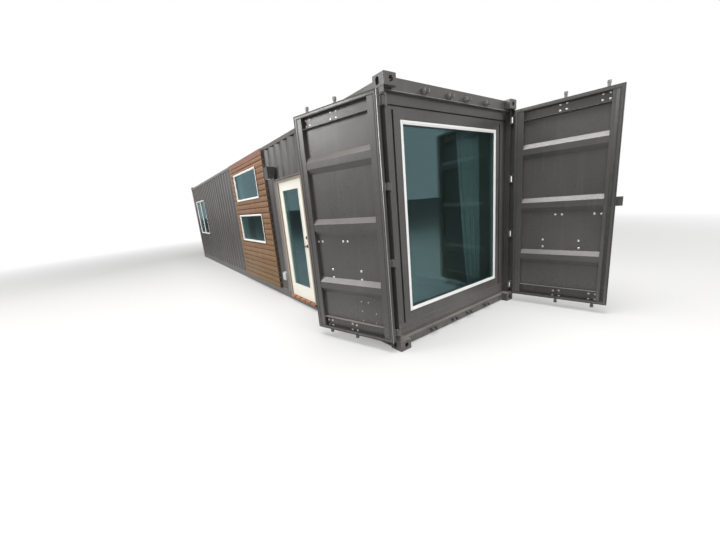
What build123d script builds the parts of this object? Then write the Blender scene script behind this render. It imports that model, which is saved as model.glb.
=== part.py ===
from build123d import *
import math
import os

# Shipping container cabin: a 40 ft high cube container turned into a small house.
# All sizes are millimetres.  While it is drawn, the origin is the bottom corner at the left of
# the cargo door end, X runs across that end, Y runs back along the length and Z is up.
# write_node turns and moves every piece, so that in the finished model +X runs back along the
# length, +Y points to the side with the entrance, and the origin is the middle of the footprint.

# Container envelope
LENGTH = 12192.0
WIDTH = 2438.0
HEIGHT = 2896.0

# Corner castings and their apertures
CASTING_X = 162.0
CASTING_Y = 178.0
CASTING_Z = 118.0
CASTING_WALL = 27.0
CASTING_EDGE = 8.0
SIDE_HOLE_HEIGHT = 79.5
SIDE_HOLE_WIDTH = 51.0
END_HOLE_HEIGHT = 63.5
END_HOLE_WIDTH = 51.0
TOP_HOLE_WIDTH = 63.5
TOP_HOLE_LENGTH = 124.0
HOLE_FROM_SIDE = 89.0
HOLE_FROM_END = 101.5

# Cargo door end frame
POST_WIDTH = 46.0
POST_SET_IN = 3.0
POST_FRONT = 60.0
POST_WALL = 6.0
POST_LIP_THICK = 6.0
POST_LIP_FRONT = 18.0
HEADER_FRONT = 80.0
HEADER_DEPTH = 145.0
HEADER_TOP_DROP = 6.0
HEADER_WALL = 4.0
LIP_REACH = 8.0
LIP_RISE = 7.0
LIP_THICK = 5.0
SILL_BOTTOM = 14.0
SILL_FRONT_HEIGHT = 94.0
SILL_BACK_HEIGHT = 152.0
SILL_BACK_FRONT = 125.0
SILL_BEVEL = 8.0

# Blind end frame
REAR_POST_X = 70.0
REAR_POST_Y = 110.0
REAR_RAIL_DEPTH = 60.0
REAR_HEADER_HEIGHT = 96.0
REAR_SILL_HEIGHT = 150.0

# Side rails, cross members, floor and roof
TOP_RAIL = 60.0
TOP_RAIL_WALL = 3.0
TOP_RAIL_DROP = 45.0
RAIL_SET_IN = 4.0
RAIL_BOTTOM = 14.0
RAIL_HEIGHT = 152.0
RAIL_FLANGE = 48.0
RAIL_WALL = 5.0
MEMBER_FLANGE = 45.0
MEMBER_WALL = 4.0
MEMBER_COUNT = 28
FLOOR_TOP = 125.0
FLOOR_THICK = 28.0
ROOF_DROP = 8.0
ROOF_DEPTH = 20.0
ROOF_PITCH = 209.0
ROOF_FLAT = 91.0
ROOF_SLOPE = 13.5
ROOF_EDGE = 20.0
ROOF_MARGIN = 110.0
ROOF_CLOSING = 6.0
SHEET = 2.0

# Corrugated wall sheets
WALL_PHASE = 3127.5
WALL_PITCH = 278.0
WALL_DEPTH = 36.0
WALL_FLAT = 72.0
WALL_SLOPE = 68.0
WALL_SET_IN = 6.0
END_PITCH = 250.0
END_DEPTH = 44.0
END_FLAT = 110.0
END_SLOPE = 18.0
END_SET_IN = 14.0

# Inner lining
LINING_THICK = 12.0
LINING_SPACE = 53.0
CEILING_GAP = 4.0
SEAT_GAP = 0.3

# Cargo door leaves
PIN_X = 18.0
PIN_Y = 22.0
LEAF_EDGE = 38.0
LEAF_OUTER = 43.0
LEAF_THICK = 50.0
LEAF_GAP = 12.0
LEAF_HEAD_GAP = 6.0
LEAF_FOOT_GAP = 6.0
HINGE_STILE = 115.0
FREE_STILE = 112.0
LEAF_RAIL = 166.0
LEAF_FRAME_WALL = 4.0
LEAF_SHEET = 2.5
PANEL_SET_BACK = 6.0
RIB_COUNT = 3
RIB_BOTTOM_MARGIN = 432.0
RIB_TOP_MARGIN = 404.0
RIB_FLAT = 76.0
RIB_SLOPE = 60.0
RIB_CLEAR = 3.0
LEFT_LEAF_OPEN = 253.1
RIGHT_LEAF_OPEN = 99.8
GASKET_THICK = 3.0
GASKET_WIDTH = 44.0
GASKET_LAP = 7.0

# Lock rods on the outside of each leaf
OUTER_ROD_FROM_EDGE = 157.0
ROD_SPACING = 424.0
ROD_RADIUS = 17.0
ROD_STAND_OFF = 6.0
CAM_WIDTH = 38.0
CAM_DEPTH = 38.0
CAM_HEIGHT = 30.0
CAM_CHAMFER = 8.0
BRACKET_WIDTH = 110.0
BRACKET_HEIGHT = 90.0
BRACKET_PLATE = 6.0
SADDLE_WALL = 5.0
SADDLE_HEIGHT = 54.0
TOP_BRACKET_DROP = 85.0
MIDDLE_BRACKET_Z = 1289.0
BOTTOM_BRACKET_RISE = 91.0
HANDLE_Z = 1010.0
HANDLE_HUB_WALL = 7.0
HANDLE_HUB_HEIGHT = 70.0
HANDLE_CLEAR = 20.0
HANDLE_BAR = 30.0
HANDLE_THICK = 10.0
RETAINER_WIDTH = 50.0
RETAINER_HEIGHT = 150.0
RETAINER_SHELF = 10.0
RETAINER_FROM_ROD = 185.0

# Cam keepers on header and sill
KEEPER_GAP = 6.0
KEEPER_PRONG = 19.0
KEEPER_HEIGHT = 38.0
KEEPER_REACH = 54.0
KEEPER_PLATE = 8.0
KEEPER_TAPER = 5.0
UPPER_KEEPER_DROP = 80.0
LOWER_KEEPER_RISE = 52.0

# Leaf hinges
HINGE_COUNT = 4
TOP_HINGE_DROP = 100.0
BOTTOM_HINGE_RISE = 111.0
HINGE_LENGTH = 78.0
KNUCKLE_RADIUS = 14.0
STRAP_THICK = 14.0
STRAP_REACH = 62.0
STRAP_OUTER_BEND = ((10.0, -6.0), (30.0, 20.0))
STRAP_INNER_BEND = ((42.0, 43.0), (37.0, 33.0), (20.0, 32.0), (-6.0, 12.0))
STRAP_KNEE = (44.0, 27.0)
LUG_THICK = 16.0
LUG_RADIUS = 16.0
PIN_CLEARANCE = 0.4
PIN_HEAD = 8.0
PIN_HEAD_RADIUS = 11.0

# Overlap plate on the free edge of the right leaf
CATCH_BOTTOM = 1388.0
CATCH_HEIGHT = 111.0
CATCH_REACH = 64.0
CATCH_LAP = 60.0
CATCH_THICK = 8.0
CATCH_CLEAR = 6.0

# Infill wall and window at the cargo door end
INFILL_FACE = 130.0
INFILL_THICK = 60.0
BAND_PROUD = 5.0
HEAD_BAND = 96.0
GROOVE = 16.0
GROOVE_DEPTH = 20.0
SIDE_BAND = 138.0
SIDE_SLOT = 27.0
SLOT_DROP = 30.0
LEDGE_HEIGHT = 90.0
FRONT_WINDOW_SIDE = 255.5
FRONT_WINDOW_RISE = 217.0
FRONT_WINDOW_DROP = 234.0
FRONT_FLANGE = 6.5
WINDOW_FRAME = 24.0
FLANGE_OVERLAP = 10.0
GLASS_THICK = 24.0
GLASS_SET_BACK = 10.0

# Entrance doorway in the left side
DOOR_WIDTH = 914.0
DOOR_HEIGHT = 2032.0
DOOR_THICK = 44.0
DOOR_FACE = 10.0
DOOR_FRONT_Y = 2018.0
DOOR_GAP = 7.0
DOOR_FLOOR_GAP = 6.0
DOOR_STILE = 157.0
DOOR_TOP_RAIL = 150.0
DOOR_BOTTOM_RAIL = 232.0
GLASS_BEAD = 24.0
BEAD_PROUD = 6.0
JAMB_THICK = 32.0
JAMB_HEAD = 20.0
JAMB_FACE = -12.0
JAMB_STOP = 10.0
STOP_GAP = 6.0
CASING_WIDTH = 110.0
CASING_HEAD = 32.0
CASING_FACE = -14.0
DRIP_REACH = 18.0
DRIP_OVERHANG = 8.0
DRIP_THICK = 3.0
DRIP_RISE = 12.0
SILL_BOARD = 40.0
SILL_NOSE = 20.0
LEVER_Z = 960.0
LEVER_SET_IN = 60.0
LEVER_LENGTH = 140.0
ROSE_RADIUS = 27.0
ROSE_THICK = 8.0
NECK_RADIUS = 9.0
NECK_LENGTH = 40.0
DOOR_HINGE_COUNT = 3
DOOR_HINGE_MARGIN = 240.0
DOOR_HINGE_RADIUS = 7.0
DOOR_HINGE_LENGTH = 100.0
DOOR_FLAP = 60.0
DOOR_FLAP_THICK = 3.0

# Timber cladding on the left side
CLAD_FRONT_Y = 3427.0
CLAD_WIDTH = 2286.0
CLAD_BOTTOM = 165.0
CLAD_TOP_DROP = 68.0
CLAD_BACK = -32.0
CLAD_THICK = 20.0
TRIM_HEIGHT = 106.0
TRIM_THICK = 24.0
TRIM_OVERHANG = 6.0
BATTEN_WIDTH = 45.0
BATTEN_COUNT = 6

# Side windows
SIDE_WINDOW_WIDTH = 1575.0
SIDE_WINDOW_HEIGHT = 605.0
SIDE_WINDOW_FROM_EDGE = 425.0
UPPER_WINDOW_DROP = 145.0
LOWER_WINDOW_SILL = 1052.0
REAR_WINDOW_WIDTH = 1600.0
REAR_WINDOW_HEIGHT = 1240.0
REAR_WINDOW_FROM_END = 582.0
REAR_WINDOW_SILL = 1050.0
SIDE_FRAME = 26.0
FRAME_PROUD = 12.0
MEETING_STILE = 40.0
STILE_SET_BACK = 8.0
STILE_DEPTH = 32.0
PANE_SET_BACK = 14.0
PANE_THICK = 18.0

# Small fittings on the left side
LIGHT_FRONT_Y = 2972.0
LIGHT_WIDTH = 160.0
LIGHT_RISE = 22.0
LIGHT_HEIGHT = 205.0
LIGHT_DEPTH = 150.0
LIGHT_FOOT = 80.0
LIGHT_FOOT_RISE = 85.0
LIGHT_EDGE = 3.0
OUTLET_FRONT_Y = 3085.0
OUTLET_WIDTH = 130.0
OUTLET_BOTTOM = 368.0
OUTLET_HEIGHT = 165.0
OUTLET_DEPTH = 52.0
OUTLET_CORNER = 12.0

# Curtain behind the right part of the front window
CURTAIN_WIDTH = 620.0
CURTAIN_FROM_SIDE = 330.0
CURTAIN_THICK = 70.0
CURTAIN_SPACE = 140.0
CURTAIN_RISE = 45.0

# Heights and places that follow from the sizes above
HEADER_TOP = HEIGHT - HEADER_TOP_DROP
HEADER_BOTTOM = HEIGHT - HEADER_DEPTH
LIP_Z = HEADER_BOTTOM + LIP_RISE
SILL_BACK_TOP = SILL_BOTTOM + SILL_BACK_HEIGHT
POST_INNER = POST_SET_IN + POST_WIDTH
RAIL_TOP = RAIL_BOTTOM + RAIL_HEIGHT
RAIL_INNER = RAIL_SET_IN + RAIL_FLANGE
WALL_TOP = HEIGHT - TOP_RAIL_DROP - TOP_RAIL
WALL_REAR = LENGTH - REAR_POST_Y
ROOF_TOP = HEIGHT - ROOF_DROP
LINING_BACK = WALL_SET_IN + WALL_DEPTH + LINING_SPACE
LINING_FACE = LINING_BACK + LINING_THICK
LINING_FRONT = INFILL_FACE + INFILL_THICK
LINING_REAR = LENGTH - END_SET_IN - END_DEPTH - LINING_SPACE
CEILING_Z = HEIGHT - CASTING_Z - CEILING_GAP - LINING_THICK
LEAF_TOP = HEADER_BOTTOM - LEAF_HEAD_GAP
LEAF_BOTTOM = CASTING_Z + LEAF_FOOT_GAP
LEAF_WIDTH = WIDTH / 2 - LEAF_GAP / 2 - PIN_X - LEAF_EDGE
LEAF_FREE = LEAF_EDGE + LEAF_WIDTH
LEAF_INNER = LEAF_OUTER + LEAF_THICK
PANEL_X0 = LEAF_EDGE + HINGE_STILE
PANEL_X1 = LEAF_FREE - FREE_STILE
PANEL_Z0 = LEAF_BOTTOM + LEAF_RAIL
PANEL_Z1 = LEAF_TOP - LEAF_RAIL
PANEL_FACE = LEAF_OUTER + PANEL_SET_BACK
ROD_Y = LEAF_OUTER - ROD_STAND_OFF - ROD_RADIUS
UPPER_KEEPER_Z = HEADER_TOP - UPPER_KEEPER_DROP
LOWER_KEEPER_Z = SILL_BOTTOM + LOWER_KEEPER_RISE
FRONT_WINDOW_X = POST_INNER + FRONT_WINDOW_SIDE
FRONT_WINDOW_SILL = SILL_BACK_TOP + FRONT_WINDOW_RISE
FRONT_WINDOW_HEAD = HEADER_BOTTOM - FRONT_WINDOW_DROP
DOOR_BOTTOM = FLOOR_TOP + DOOR_FLOOR_GAP
DOOR_REAR_Y = DOOR_FRONT_Y + DOOR_WIDTH
DOORWAY_FRONT = DOOR_FRONT_Y - DOOR_GAP - JAMB_THICK
DOORWAY_REAR = DOOR_REAR_Y + DOOR_GAP + JAMB_THICK
DOORWAY_HEAD = DOOR_BOTTOM + DOOR_HEIGHT + DOOR_GAP + JAMB_HEAD
CASING_TOP = DOORWAY_HEAD + CASING_HEAD
CLAD_FACE = CLAD_BACK - CLAD_THICK
TRIM_TOP = HEIGHT - CLAD_TOP_DROP
CLAD_TOP = TRIM_TOP - TRIM_HEIGHT


def spread(first, last, count):
    """Evenly spaced places from first to last."""
    step = (last - first) / (count - 1)
    return [first + index * step for index in range(count)]


def window_rect(front, sill, width, height):
    """(y0, y1, z0, z1) of a window from its front lower corner."""
    return (front, front + width, sill, sill + height)


HINGE_HEIGHTS = spread(LEAF_BOTTOM + BOTTOM_HINGE_RISE, LEAF_TOP - TOP_HINGE_DROP, HINGE_COUNT)
RIB_HEIGHTS = spread(PANEL_Z0 + RIB_BOTTOM_MARGIN, PANEL_Z1 - RIB_TOP_MARGIN, RIB_COUNT)
OUTER_ROD = LEAF_FREE - OUTER_ROD_FROM_EDGE
ROD_PLACES = (OUTER_ROD - ROD_SPACING, OUTER_ROD)
HANDLE_LENGTH = ROD_SPACING - ROD_RADIUS - HANDLE_HUB_WALL - HANDLE_CLEAR
CLAD_WINDOW_FRONT = CLAD_FRONT_Y + SIDE_WINDOW_FROM_EDGE
UPPER_WINDOW_SILL = CLAD_TOP - UPPER_WINDOW_DROP - SIDE_WINDOW_HEIGHT
REAR_WINDOW_FRONT = LENGTH - REAR_WINDOW_FROM_END - REAR_WINDOW_WIDTH
UPPER_WINDOW = window_rect(CLAD_WINDOW_FRONT, UPPER_WINDOW_SILL, SIDE_WINDOW_WIDTH, SIDE_WINDOW_HEIGHT)
LOWER_WINDOW = window_rect(CLAD_WINDOW_FRONT, LOWER_WINDOW_SILL, SIDE_WINDOW_WIDTH, SIDE_WINDOW_HEIGHT)
REAR_WINDOW = window_rect(REAR_WINDOW_FRONT, REAR_WINDOW_SILL, REAR_WINDOW_WIDTH, REAR_WINDOW_HEIGHT)
SIDE_WINDOWS = (UPPER_WINDOW, LOWER_WINDOW, REAR_WINDOW)

PARTS = "parts"
TO_ORIGIN = Rot(0, 0, -90) * Pos(-WIDTH / 2, -LENGTH / 2, 0)


# Basic shapes
def block(x0, x1, y0, y1, z0, z1):
    """A box between two opposite corners."""
    size = Box(x1 - x0, y1 - y0, z1 - z0)
    return Pos((x0 + x1) / 2, (y0 + y1) / 2, (z0 + z1) / 2) * size


def prism_x(points, x0, x1):
    """A closed outline of (y, z) points carried along X."""
    face = make_face(Polyline([(x0, y, z) for y, z in points], close=True))
    return extrude(face, amount=x1 - x0, dir=(1, 0, 0))


def prism_y(points, y0, y1):
    """A closed outline of (x, z) points carried along Y."""
    face = make_face(Polyline([(x, y0, z) for x, z in points], close=True))
    return extrude(face, amount=y1 - y0, dir=(0, 1, 0))


def prism_z(points, z0, z1):
    """A closed outline of (x, y) points carried along Z."""
    face = make_face(Polyline([(x, y, z0) for x, y in points], close=True))
    return extrude(face, amount=z1 - z0, dir=(0, 0, 1))


def inset(rect, edge):
    """A rectangle (a0, a1, b0, b1) drawn in by an edge width."""
    return (rect[0] + edge, rect[1] - edge, rect[2] + edge, rect[3] - edge)


def side_ring(outer, inner, x0, x1):
    """A frame that lies along the length, from two (y0, y1, z0, z1) rectangles."""
    body = block(x0, x1, outer[0], outer[1], outer[2], outer[3])
    return body - block(x0 - 1, x1 + 1, inner[0], inner[1], inner[2], inner[3])


def fused(pieces):
    """One shape from solids that touch."""
    return pieces[0].fuse(*pieces[1:])


def mirror_x(shape):
    """The same shape on the right side of the container."""
    return Pos(WIDTH, 0, 0) * mirror(shape, about=Plane.YZ)


def write_node(name, pieces):
    """Move the solids of one node to the model's origin and write them."""
    solids = []
    for piece in pieces:
        solids.extend((TO_ORIGIN * piece).solids())
    shape = solids[0] if len(solids) == 1 else Compound(children=solids)
    export_step(shape, os.path.join(PARTS, name + ".step"))


# Corrugated sheets
def fold_points(start, end, first, pitch, flat, slope, outer, inner):
    """Fold line of a trapezoid corrugation as (place, depth); first is the middle of an outer flat."""
    half = flat / 2
    corners = ((half, outer), (half + slope, inner), (pitch - half - slope, inner), (pitch - half, outer))
    folds = []
    for index in range(math.floor((start - first) / pitch) - 1, math.ceil((end - first) / pitch) + 1):
        folds.extend((first + index * pitch + place, depth) for place, depth in corners)
    points = []
    for (place, depth), (after, deeper) in zip(folds, folds[1:]):
        slant = (deeper - depth) / (after - place)
        if place < start < after:
            points.append((start, depth + slant * (start - place)))
        if start < after < end:
            points.append((after, deeper))
        if place < end <= after:
            points.append((end, depth + slant * (end - place)))
    return points


def thick_fold(points, thick):
    """Closed outline of a fold line, with a sheet's thickness added to each depth."""
    return points + [(place, depth + thick) for place, depth in reversed(points)]


def side_sheet(y0, y1, z0, z1):
    """Corrugated sheet of the left side wall between two places along the length."""
    inner = WALL_SET_IN + WALL_DEPTH
    fold = fold_points(y0, y1, WALL_PHASE, WALL_PITCH, WALL_FLAT, WALL_SLOPE, WALL_SET_IN, inner)
    return prism_z([(depth, place) for place, depth in thick_fold(fold, SHEET)], z0, z1)


# Corner castings
def casting():
    """Hollow bottom casting at the left of the cargo door end, with its three apertures."""
    body = block(0, CASTING_X, 0, CASTING_Y, 0, CASTING_Z)
    body = fillet(body.edges().filter_by(Axis.Z), CASTING_EDGE)
    wall = CASTING_WALL
    body = body - block(wall, CASTING_X - wall, wall, CASTING_Y - wall, wall, CASTING_Z - wall)
    middle = CASTING_Z / 2
    side = Plane(origin=(0, HOLE_FROM_END, middle), x_dir=(0, 0, 1), z_dir=(1, 0, 0))
    end = Plane(origin=(HOLE_FROM_SIDE, 0, middle), x_dir=(0, 0, 1), z_dir=(0, 1, 0))
    foot = Plane(origin=(HOLE_FROM_SIDE, HOLE_FROM_END, 0), x_dir=(0, 1, 0), z_dir=(0, 0, 1))
    body = body - extrude(side * SlotOverall(SIDE_HOLE_HEIGHT, SIDE_HOLE_WIDTH), amount=wall)
    body = body - extrude(end * SlotOverall(END_HOLE_HEIGHT, END_HOLE_WIDTH), amount=wall)
    return body - extrude(foot * SlotOverall(TOP_HOLE_LENGTH, TOP_HOLE_WIDTH), amount=wall)


def corner_castings():
    """One casting mirrored to all eight corners."""
    front = [casting()]
    front.append(mirror_x(front[0]))
    bottom = front + [Pos(0, LENGTH, 0) * mirror(piece, about=Plane.XZ) for piece in front]
    return bottom + [Pos(0, 0, HEIGHT) * mirror(piece, about=Plane.XY) for piece in bottom]


def clear_of_castings(shape):
    """Cut away what would run into the eight corner castings."""
    for x0 in (0, WIDTH - CASTING_X):
        for y0 in (0, LENGTH - CASTING_Y):
            for z0 in (0, HEIGHT - CASTING_Z):
                shape = shape - block(x0, x0 + CASTING_X, y0, y0 + CASTING_Y, z0, z0 + CASTING_Z)
    return shape


# Cargo door end frame
def post_lug(z0):
    """Hinge lug that reaches from the post front to the pin line."""
    outline = [
        (POST_SET_IN, POST_FRONT),
        (PIN_X - LUG_RADIUS, PIN_Y),
        (PIN_X + LUG_RADIUS, PIN_Y),
        (POST_INNER, POST_FRONT),
    ]
    plate = prism_z(outline, z0, z0 + LUG_THICK)
    nose = Pos(PIN_X, PIN_Y, z0 + LUG_THICK / 2) * Cylinder(LUG_RADIUS, LUG_THICK)
    return plate.fuse(nose)


def front_post():
    """Left post with a lip along its outer edge, the hinge lugs and the pin heads."""
    z0 = CASTING_Z
    z1 = HEIGHT - CASTING_Z
    wall = POST_WALL
    tube = block(POST_SET_IN, POST_INNER, POST_FRONT, CASTING_Y, z0, z1)
    core = block(POST_SET_IN + wall, POST_INNER - wall, POST_FRONT + wall, CASTING_Y - wall, z0, z1)
    lip = block(POST_SET_IN, POST_SET_IN + POST_LIP_THICK, POST_LIP_FRONT, POST_FRONT, z0, z1)
    reach = HINGE_LENGTH / 2 + PIN_CLEARANCE
    for height in HINGE_HEIGHTS:
        lip = lip - block(0, POST_INNER, 0, POST_FRONT, height - reach, height + reach)
    pieces = [tube - core, lip]
    for height in HINGE_HEIGHTS:
        pieces.append(post_lug(height + reach))
        pieces.append(post_lug(height - reach - LUG_THICK))
        head = Cylinder(PIN_HEAD_RADIUS, PIN_HEAD)
        rise = reach + LUG_THICK + PIN_HEAD / 2
        pieces.append(Pos(PIN_X, PIN_Y, height + rise) * head)
        pieces.append(Pos(PIN_X, PIN_Y, height - rise) * head)
    return fused(pieces)


def front_header():
    """Pressed header over the cargo doorway, hollow, with a rain lip along its lower edge."""
    band_face = INFILL_FACE - BAND_PROUD
    outline = [
        (HEADER_FRONT, HEADER_TOP),
        (CASTING_Y, HEADER_TOP),
        (CASTING_Y, HEADER_BOTTOM),
        (band_face, HEADER_BOTTOM),
        (HEADER_FRONT - LIP_REACH, LIP_Z),
        (HEADER_FRONT - LIP_REACH, LIP_Z + LIP_THICK),
        (HEADER_FRONT, LIP_Z + LIP_THICK + LIP_REACH),
    ]
    beam = prism_x(outline, POST_INNER, WIDTH - POST_INNER)
    wall = HEADER_WALL
    low = LIP_Z + LIP_THICK + LIP_REACH
    core = block(0, WIDTH, HEADER_FRONT + wall, CASTING_Y - wall, low, HEADER_TOP - wall)
    return clear_of_castings(beam - core)


def front_sill():
    """Stepped sill under the cargo doorway."""
    front_top = SILL_BOTTOM + SILL_FRONT_HEIGHT
    outline = [
        (HEADER_FRONT, SILL_BOTTOM),
        (CASTING_Y, SILL_BOTTOM),
        (CASTING_Y, SILL_BACK_TOP),
        (SILL_BACK_FRONT, SILL_BACK_TOP),
        (SILL_BACK_FRONT, front_top),
        (HEADER_FRONT + SILL_BEVEL, front_top),
        (HEADER_FRONT, front_top - SILL_BEVEL),
    ]
    return clear_of_castings(prism_x(outline, POST_INNER, WIDTH - POST_INNER))


def keeper(x, z):
    """Forked cam keeper welded to the face of the header or sill."""
    gap = CAM_WIDTH / 2 + KEEPER_GAP
    wide = gap + KEEPER_PRONG
    back = HEADER_FRONT
    tip = back - KEEPER_REACH
    half = [
        (wide, back),
        (wide, tip + KEEPER_PRONG),
        (wide - KEEPER_TAPER, tip),
        (gap, tip),
        (gap, back - KEEPER_PLATE),
    ]
    outline = [(x - offset, y) for offset, y in half]
    outline = outline + [(x + offset, y) for offset, y in reversed(half)]
    return prism_z(outline, z - KEEPER_HEIGHT / 2, z + KEEPER_HEIGHT / 2)


def cam_keepers():
    pieces = []
    for place in ROD_PLACES:
        for x in (PIN_X + place, WIDTH - PIN_X - place):
            pieces.append(keeper(x, UPPER_KEEPER_Z))
            pieces.append(keeper(x, LOWER_KEEPER_Z))
    return pieces


# Blind end frame
def rear_posts():
    x0 = RAIL_SET_IN
    x1 = x0 + REAR_POST_X
    y1 = LENGTH - RAIL_SET_IN
    z1 = HEIGHT - CASTING_Z
    wall = POST_WALL
    post = block(x0, x1, WALL_REAR, y1, CASTING_Z, z1)
    post = post - block(x0 + wall, x1 - wall, WALL_REAR + wall, y1 - wall, CASTING_Z, z1)
    return [post, mirror_x(post)]


def rear_rails():
    y1 = LENGTH - RAIL_SET_IN
    y0 = y1 - REAR_RAIL_DEPTH
    header = block(CASTING_X, WIDTH - CASTING_X, y0, y1, HEADER_TOP - REAR_HEADER_HEIGHT, HEADER_TOP)
    sill = block(CASTING_X, WIDTH - CASTING_X, y0, y1, SILL_BOTTOM, SILL_BOTTOM + REAR_SILL_HEIGHT)
    return [header, sill]


# Side rails, floor and roof
def top_side_rails():
    x0 = RAIL_SET_IN
    x1 = x0 + TOP_RAIL
    z0 = WALL_TOP
    z1 = z0 + TOP_RAIL
    wall = TOP_RAIL_WALL
    tube = block(x0, x1, CASTING_Y, LENGTH - CASTING_Y, z0, z1)
    rail = tube - block(x0 + wall, x1 - wall, CASTING_Y, LENGTH - CASTING_Y, z0 + wall, z1 - wall)
    return [rail, mirror_x(rail)]


def channel(web, flange, z0, z1, wall):
    """Section of an upright channel: its web at one place, its flanges reaching to another."""
    back = web + math.copysign(wall, flange - web)
    return [
        (web, z0),
        (flange, z0),
        (flange, z0 + wall),
        (back, z0 + wall),
        (back, z1 - wall),
        (flange, z1 - wall),
        (flange, z1),
        (web, z1),
    ]


def bottom_side_rails():
    """Channel rails, the left one cut down under the entrance."""
    section = channel(RAIL_SET_IN, RAIL_INNER, RAIL_BOTTOM, RAIL_TOP, RAIL_WALL)
    left = prism_y(section, CASTING_Y, LENGTH - CASTING_Y)
    right = mirror_x(left)
    notch = block(0, RAIL_INNER + 1, DOORWAY_FRONT, DOORWAY_REAR, FLOOR_TOP - SILL_BOARD, RAIL_TOP + 1)
    return [left - notch, right]


def cross_members():
    """Channels under the floor, between the bottom side rails."""
    first = CASTING_Y + MEMBER_FLANGE
    last = LENGTH - CASTING_Y - 2 * MEMBER_FLANGE
    pieces = []
    for y in spread(first, last, MEMBER_COUNT):
        section = channel(y, y + MEMBER_FLANGE, RAIL_BOTTOM, FLOOR_TOP - FLOOR_THICK, MEMBER_WALL)
        pieces.append(prism_x(section, RAIL_INNER, WIDTH - RAIL_INNER))
    return pieces


def floor():
    z0 = FLOOR_TOP - FLOOR_THICK
    return block(RAIL_INNER, WIDTH - RAIL_INNER, CASTING_Y, LENGTH - CASTING_Y, z0, FLOOR_TOP)


def roof_panel():
    """Roof sheet folded across the width, with closed ends and flat margins on the side rails."""
    y1 = LENGTH - RAIL_SET_IN - REAR_RAIL_DEPTH
    low = ROOF_TOP - ROOF_DEPTH
    rail_top = WALL_TOP + TOP_RAIL
    fold = fold_points(CASTING_Y, y1, CASTING_Y, ROOF_PITCH, ROOF_FLAT, ROOF_SLOPE, ROOF_TOP, low)
    sheet = prism_x(thick_fold(fold, -SHEET), ROOF_MARGIN, WIDTH - ROOF_MARGIN)
    outline = fold + [(y1, rail_top), (CASTING_Y, rail_top)]
    closing = prism_x(outline, ROOF_MARGIN, ROOF_MARGIN + ROOF_CLOSING)
    edge = RAIL_SET_IN + ROOF_EDGE
    margin = block(edge, ROOF_MARGIN + ROOF_CLOSING, CASTING_Y, y1, rail_top, rail_top + SHEET)
    return clear_of_castings(fused([sheet, closing, mirror_x(closing), margin, mirror_x(margin)]))


# Walls
def with_window_holes(shape, windows):
    """Cut the rough openings, which are narrower than the outer edges of the frames."""
    for window in windows:
        y0, y1, z0, z1 = inset(window, FLANGE_OVERLAP)
        shape = shape - block(CLAD_FACE - 1, LINING_FACE + 1, y0, y1, z0, z1)
    return shape


def left_wall_front():
    return side_sheet(CASTING_Y, DOORWAY_FRONT, RAIL_TOP, WALL_TOP)


def left_wall_over_door():
    return side_sheet(DOORWAY_FRONT, DOORWAY_REAR, DOORWAY_HEAD, WALL_TOP)


def left_wall_rear():
    sheet = side_sheet(DOORWAY_REAR, WALL_REAR, RAIL_TOP, WALL_TOP)
    return clear_of_castings(with_window_holes(sheet, SIDE_WINDOWS))


def right_wall():
    return clear_of_castings(mirror_x(side_sheet(CASTING_Y, WALL_REAR, RAIL_TOP, WALL_TOP)))


def rear_wall():
    """Blind end wall, corrugated across the width."""
    x0 = RAIL_SET_IN + REAR_POST_X
    outer = LENGTH - END_SET_IN
    fold = fold_points(x0, WIDTH - x0, WIDTH / 2, END_PITCH, END_FLAT, END_SLOPE, outer, outer - END_DEPTH)
    sheet = prism_z(thick_fold(fold, -SHEET), SILL_BOTTOM + REAR_SILL_HEIGHT, HEADER_TOP - REAR_HEADER_HEIGHT)
    return clear_of_castings(sheet)


# Inner lining
def left_lining(y0, y1, z0):
    return block(LINING_BACK, LINING_FACE, y0, y1, z0, CEILING_Z)


def left_lining_rear():
    return with_window_holes(left_lining(DOORWAY_REAR, LINING_REAR, FLOOR_TOP), SIDE_WINDOWS)


def right_lining():
    return mirror_x(left_lining(LINING_FRONT, LINING_REAR, FLOOR_TOP))


def rear_lining():
    y1 = LINING_REAR + LINING_THICK
    return block(LINING_BACK, WIDTH - LINING_BACK, LINING_REAR, y1, FLOOR_TOP, CEILING_Z)


def ceiling():
    y1 = LINING_REAR + LINING_THICK
    return block(LINING_BACK, WIDTH - LINING_BACK, LINING_FRONT, y1, CEILING_Z, CEILING_Z + LINING_THICK)


# Infill wall and window at the cargo door end
def front_wall():
    """Infill wall with proud head and foot bands, grooves and the window opening."""
    x0 = POST_INNER
    x1 = WIDTH - POST_INNER
    band_face = INFILL_FACE - BAND_PROUD
    band_bottom = HEADER_BOTTOM - HEAD_BAND
    ledge_top = SILL_BACK_TOP + LEDGE_HEIGHT
    wall = block(x0, x1, INFILL_FACE, LINING_FRONT, SILL_BACK_TOP, HEADER_BOTTOM)
    head = block(x0, x1, band_face, INFILL_FACE, band_bottom, HEADER_BOTTOM)
    foot = block(x0, x1, band_face, INFILL_FACE, SILL_BACK_TOP, ledge_top)
    wall = fused([wall, head, foot])
    groove_back = INFILL_FACE + GROOVE_DEPTH
    groove_bottom = band_bottom - GROOVE
    wall = wall - block(x0, x1, INFILL_FACE, groove_back, groove_bottom, band_bottom)
    slot_x = x0 + SIDE_BAND
    slot = block(slot_x, slot_x + SIDE_SLOT, INFILL_FACE, groove_back, ledge_top, groove_bottom - SLOT_DROP)
    wall = wall - slot - mirror_x(slot)
    hole = inset(front_window_rect(), FLANGE_OVERLAP)
    return wall - block(hole[0], hole[1], INFILL_FACE - 1, LINING_FRONT + 1, hole[2], hole[3])


def front_window_rect():
    """(x0, x1, z0, z1) of the outer edge of the front window."""
    return (FRONT_WINDOW_X, WIDTH - FRONT_WINDOW_X, FRONT_WINDOW_SILL, FRONT_WINDOW_HEAD)


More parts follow.
